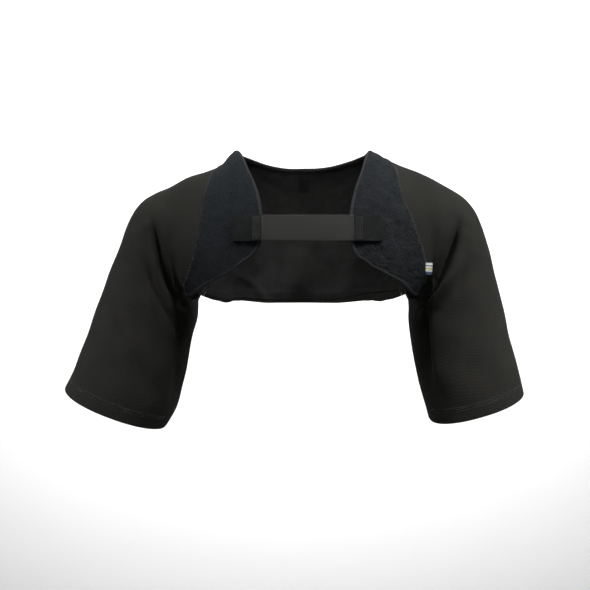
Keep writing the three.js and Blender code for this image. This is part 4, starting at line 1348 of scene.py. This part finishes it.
labelLook = {
    "size": {
        "x": -6.0, "z": -36.0, "width": 16.0, "height": 17.0, "guess": (0.05, 0.39),
        "lowest": liningFace - 1.3,
    },
    "side": {
        "x": 184.5, "z": -170.0, "width": 12.0, "height": 18.0, "guess": (1.0, 0.82),
        "lowest": garment["wall"] + 0.9,
    },
    "thickness": 0.5, "curl": 0.5, "columns": 14, "rows": 16,
}


def makeLabel(name, node, kind, material, slotName):
    look, sheet = labelLook[kind], labelLook
    half = sheet["thickness"] / 2
    across = rimmedSteps(0, look["width"], sheet["columns"], half)
    down = rimmedSteps(0, look["height"], sheet["rows"], half)
    x, d = np.meshgrid(across, down)
    base, normal = clothBase(*placeAt(look["x"] + x, look["z"] - d, look["guess"]))
    curl = sheet["curl"] * np.sin(np.pi * x / look["width"]) * d / look["height"]
    distance = np.minimum(np.minimum(x, look["width"] - x), np.minimum(d, look["height"] - d))
    low = look["lowest"] + np.sign(look["lowest"]) * curl
    outer, inner = roundedFaces(base, normal, low, low + sheet["thickness"], distance)
    piece = closedSheet(name, outer, inner, material, slotName)
    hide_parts(node)
    return piece


sizeLabel = makeLabel("neck_label", "size_label", "size", satin, "label")
sideTag = makeLabel("seam_tag", "side_tag", "side", tagWeave, "tag")
print("stage: labels made")

# Stitching

stitchLook = {
    "hem": {"pitch": 3.4, "length": 3.0, "radius": 0.38, "sink": 0.35},
    "seam": {"pitch": 5.0, "half": 2.0, "radius": 0.42, "lift": 0.4, "sink": 0.15},
    "bar": {"pitch": 3.6, "half": 1.1, "radius": 0.30, "lift": 0.3, "sink": 0.1},
    "edge": {"pitch": 3.4, "length": 2.4, "radius": 0.30, "sink": 0.3},
    "edgeInset": 2.4, "barInset": 2, "seamEnds": (0.03, 0.955),
    "barSteps": (-11.0, -8.2, -5.4, -2.6, 2.0),  # mm from the tab's mouth, below 0 on the tab
}


def clothLine(side, u, v, height, face=1):
    # a line on the cloth's outer face (1) or inner face (-1), with its normals, lifted off
    # the cloth by a height
    base, normal = clothBase(side, u, v)
    return base + normal * (face * height), normal * face


def hemLines(side):
    v = np.linspace(0, 1, 500)
    lift = garment["wall"] - sleeveLook["stitchDent"] + stitchLook["hem"]["radius"]
    return [clothLine(side, hemU(side, v, offset), v, lift) for offset in sleeveLook["stitchLines"]]


def backHemLines(face):
    # face 1 is the outside, -1 the turned-up strip inside
    across = np.linspace(0.03, 0.97, 600)
    lift = garment["wall"] - backLook["stitchDent"] + stitchLook["hem"]["radius"]
    lines = []
    for offset in backLook["stitchLines"]:
        stage = np.full(across.shape, 1 - offset / garment["armholeDepth"])
        lines.append(clothLine(*backPlace(stage, across), lift, face))
    return lines


def seamStitch(name, side, u, v, height, thread):
    zigzag(name, *clothLine(side, u, v, height), stitchLook["seam"], thread)


dashes("left_hem_stitch", hemLines(-1), stitchLook["hem"], seamThread)
dashes("right_hem_stitch", hemLines(1), stitchLook["hem"], seamThread)
dashes("back_hem_stitch", backHemLines(1) + backHemLines(-1), stitchLook["hem"], darkThread)

stages = np.linspace(*stitchLook["seamEnds"], 400)
shoulder = np.linspace(garment["neckU"] + 0.03, backSeamTable[0, 0] - 0.005, 60)
under = np.linspace(sleeveLayout["ringStart"] + 0.01, 1.995, 200)
flapFace, backFace = garment["flapWall"], garment["wall"]
tapeFace = flapFace + tapeForm["clearance"] + tapeForm["thickness"]
for name, side in (("left", -1), ("right", 1)):
    front, behind = (seamPlace(np.full(400, side), stages, kind) for kind in ("seam", "back"))
    seamStitch(name + "_front_seam", side, *front, flapFace + 0.05, seamThread)
    seamStitch(name + "_back_seam", side, *behind, backFace + 0.1, darkThread)
    seamStitch(name + "_shoulder_seam", side, shoulder, 0.5001, backFace + 0.3, darkThread)
    seamStitch(name + "_underarm_seam", side, under, 0.0, backFace + 0.1, darkThread)
    edge = clothLine(*flapEdge(side, stitchLook["edgeInset"]), tapeFace)
    dashes(name + "_edge_stitch", [edge], stitchLook["edge"], seamThread)

neckLine = clothLine(*neckEdge(stitchLook["edgeInset"]), 1.2 - liningFace, -1)
dashes("neck_stitch", [neckLine], stitchLook["edge"], darkThread)

# zigzag bars across the strap
for name, side in (("left", 1), ("right", -1)):
    for index, step in enumerate(stitchLook["barSteps"]):
        reach = strapLook["width"] / 2 - stitchLook["barInset"]
        place = onChest(np.full(60, strapLook[name] + side * step), np.linspace(-reach, reach, 60))
        line = clothLine(*place, (tabTop if step < 0 else strapTop) + 0.1)
        zigzag(f"{name}_bar_{index + 1}", *line, stitchLook["bar"], greyThread)
print("stage: stitching made")

# Floor, light and camera

studio = {
    "floorHeight": -1.3, "levelRadius": 3.2, "floorRadius": 6.5, "rimHeight": 3.2,
    "floorTone": (0.6, 0.6, 0.6), "speckShare": 0.985, "world": 0.02,
    "camera": (-0.0124, -3.0, -0.2206), "viewWidth": 0.9145,
    "lights": [  # name, place, target, size in m, watts, spread in degrees
        ("high", (0.0, -1.6, 2.6), (0.0, 0.0, -0.25), 0.9, 9.0, 180),
        ("leftHigh", (-1.5, -1.2, 2.3), (-0.34, 0.0, -0.22), 0.6, 2.9, 22),
        ("rightHigh", (1.5, -1.2, 2.3), (0.34, 0.0, -0.2), 0.6, 4.6, 22),
        ("leftSide", (-2.6, -1.2, 1.4), (-0.40, 0.0, -0.22), 0.4, 0.16, 12),
        ("rightSide", (2.6, -1.2, 1.4), (0.40, 0.0, -0.2), 0.4, 0.20, 12),
        ("middle", (0.0, -2.6, 1.5), (0.0, 0.1, 0.02), 0.3, 0.36, 8),
        ("rear", (-0.3, 2.3, 2.2), (0.0, 0.0, -0.2), 1.6, 18.0, 120),
        ("wallBehind", (0.0, 3.4, 3.0), (0.0, 5.8, -0.6), 2.4, 138.0, 100),
        ("wallInFront", (0.0, -4.2, 3.0), (0.0, -6.0, -0.6), 2.4, 36.0, 100),
    ],
}


def makeFloor():
    # a flat disc whose outer part rises with the square of the distance, as a shallow bowl
    look = studio
    level, edge = look["levelRadius"], look["floorRadius"]
    turn = np.linspace(0, 2 * np.pi, 97)[:-1]
    radius = np.concatenate([np.linspace(0.02, level, 12), np.linspace(level + 0.2, edge, 18)])
    rise = np.clip((radius - level) / (edge - level), 0, 1) ** 2 * look["rimHeight"]
    x, y = radius[:, None] * np.cos(turn), radius[:, None] * np.sin(turn)
    points = np.stack([x, y, look["floorHeight"] + rise[:, None] + 0 * x], -1)
    rows, columns = points.shape[:2]
    quads = gridQuads(rows, columns + 1)
    faces = quads // (columns + 1) * columns + quads % (columns + 1) % columns
    mesh = bpy.data.meshes.new("floor")
    centre = list(range(columns))[::-1]
    mesh.from_pydata(points.reshape(-1, 3).tolist(), [], faces.tolist() + [centre])
    mesh.polygons.foreach_set("use_smooth", np.ones(len(mesh.polygons), dtype=bool))
    material, shader = newMaterial("paleFloor", 0.9, 0.0, (1, 1, 1), 0.1)
    speck = makePart(material, {}, *noisePart(None, 3.0, 2.0))
    low = tuple(look["speckShare"] * value for value in look["floorTone"])
    colour = ramp(material, speck, [(0.3, low), (0.7, look["floorTone"])])
    join(material, colour, shader.inputs["Base Color"])
    mesh.materials.append(material)
    floor = bpy.data.objects.new("floor", mesh)
    scene.collection.objects.link(floor)


def makeLight(name, place, target, size, energy, spread):
    data = bpy.data.lights.new(name, "AREA")
    data.shape, data.size, data.energy = "DISK", size, energy
    data.spread = np.radians(spread)
    lamp = bpy.data.objects.new(name, data)
    lamp.location = place
    aim = np.array(target) - np.array(place)
    flat = np.hypot(aim[0], aim[1])
    lamp.rotation_euler = (np.arctan2(flat, -aim[2]), 0, np.arctan2(-aim[0], aim[1]))
    scene.collection.objects.link(lamp)


makeFloor()
for row in studio["lights"]:
    makeLight(*row)
world = bpy.data.worlds.new("studio")
world.use_nodes = True
backdrop = world.node_tree.nodes["Background"]
backdrop.inputs["Strength"].default_value = studio["world"]
backdrop.inputs["Color"].default_value = (1, 1, 1, 1)
scene.world = world
scene.view_settings.view_transform = "Standard"

lens = bpy.data.cameras.new("camera")
lens.lens = lens.sensor_width * abs(studio["camera"][1]) / studio["viewWidth"]
camera = bpy.data.objects.new("camera", lens)
camera.location = studio["camera"]
camera.rotation_euler = (np.pi / 2, 0, 0)
scene.collection.objects.link(camera)
scene.camera = camera
print("stage: studio made")
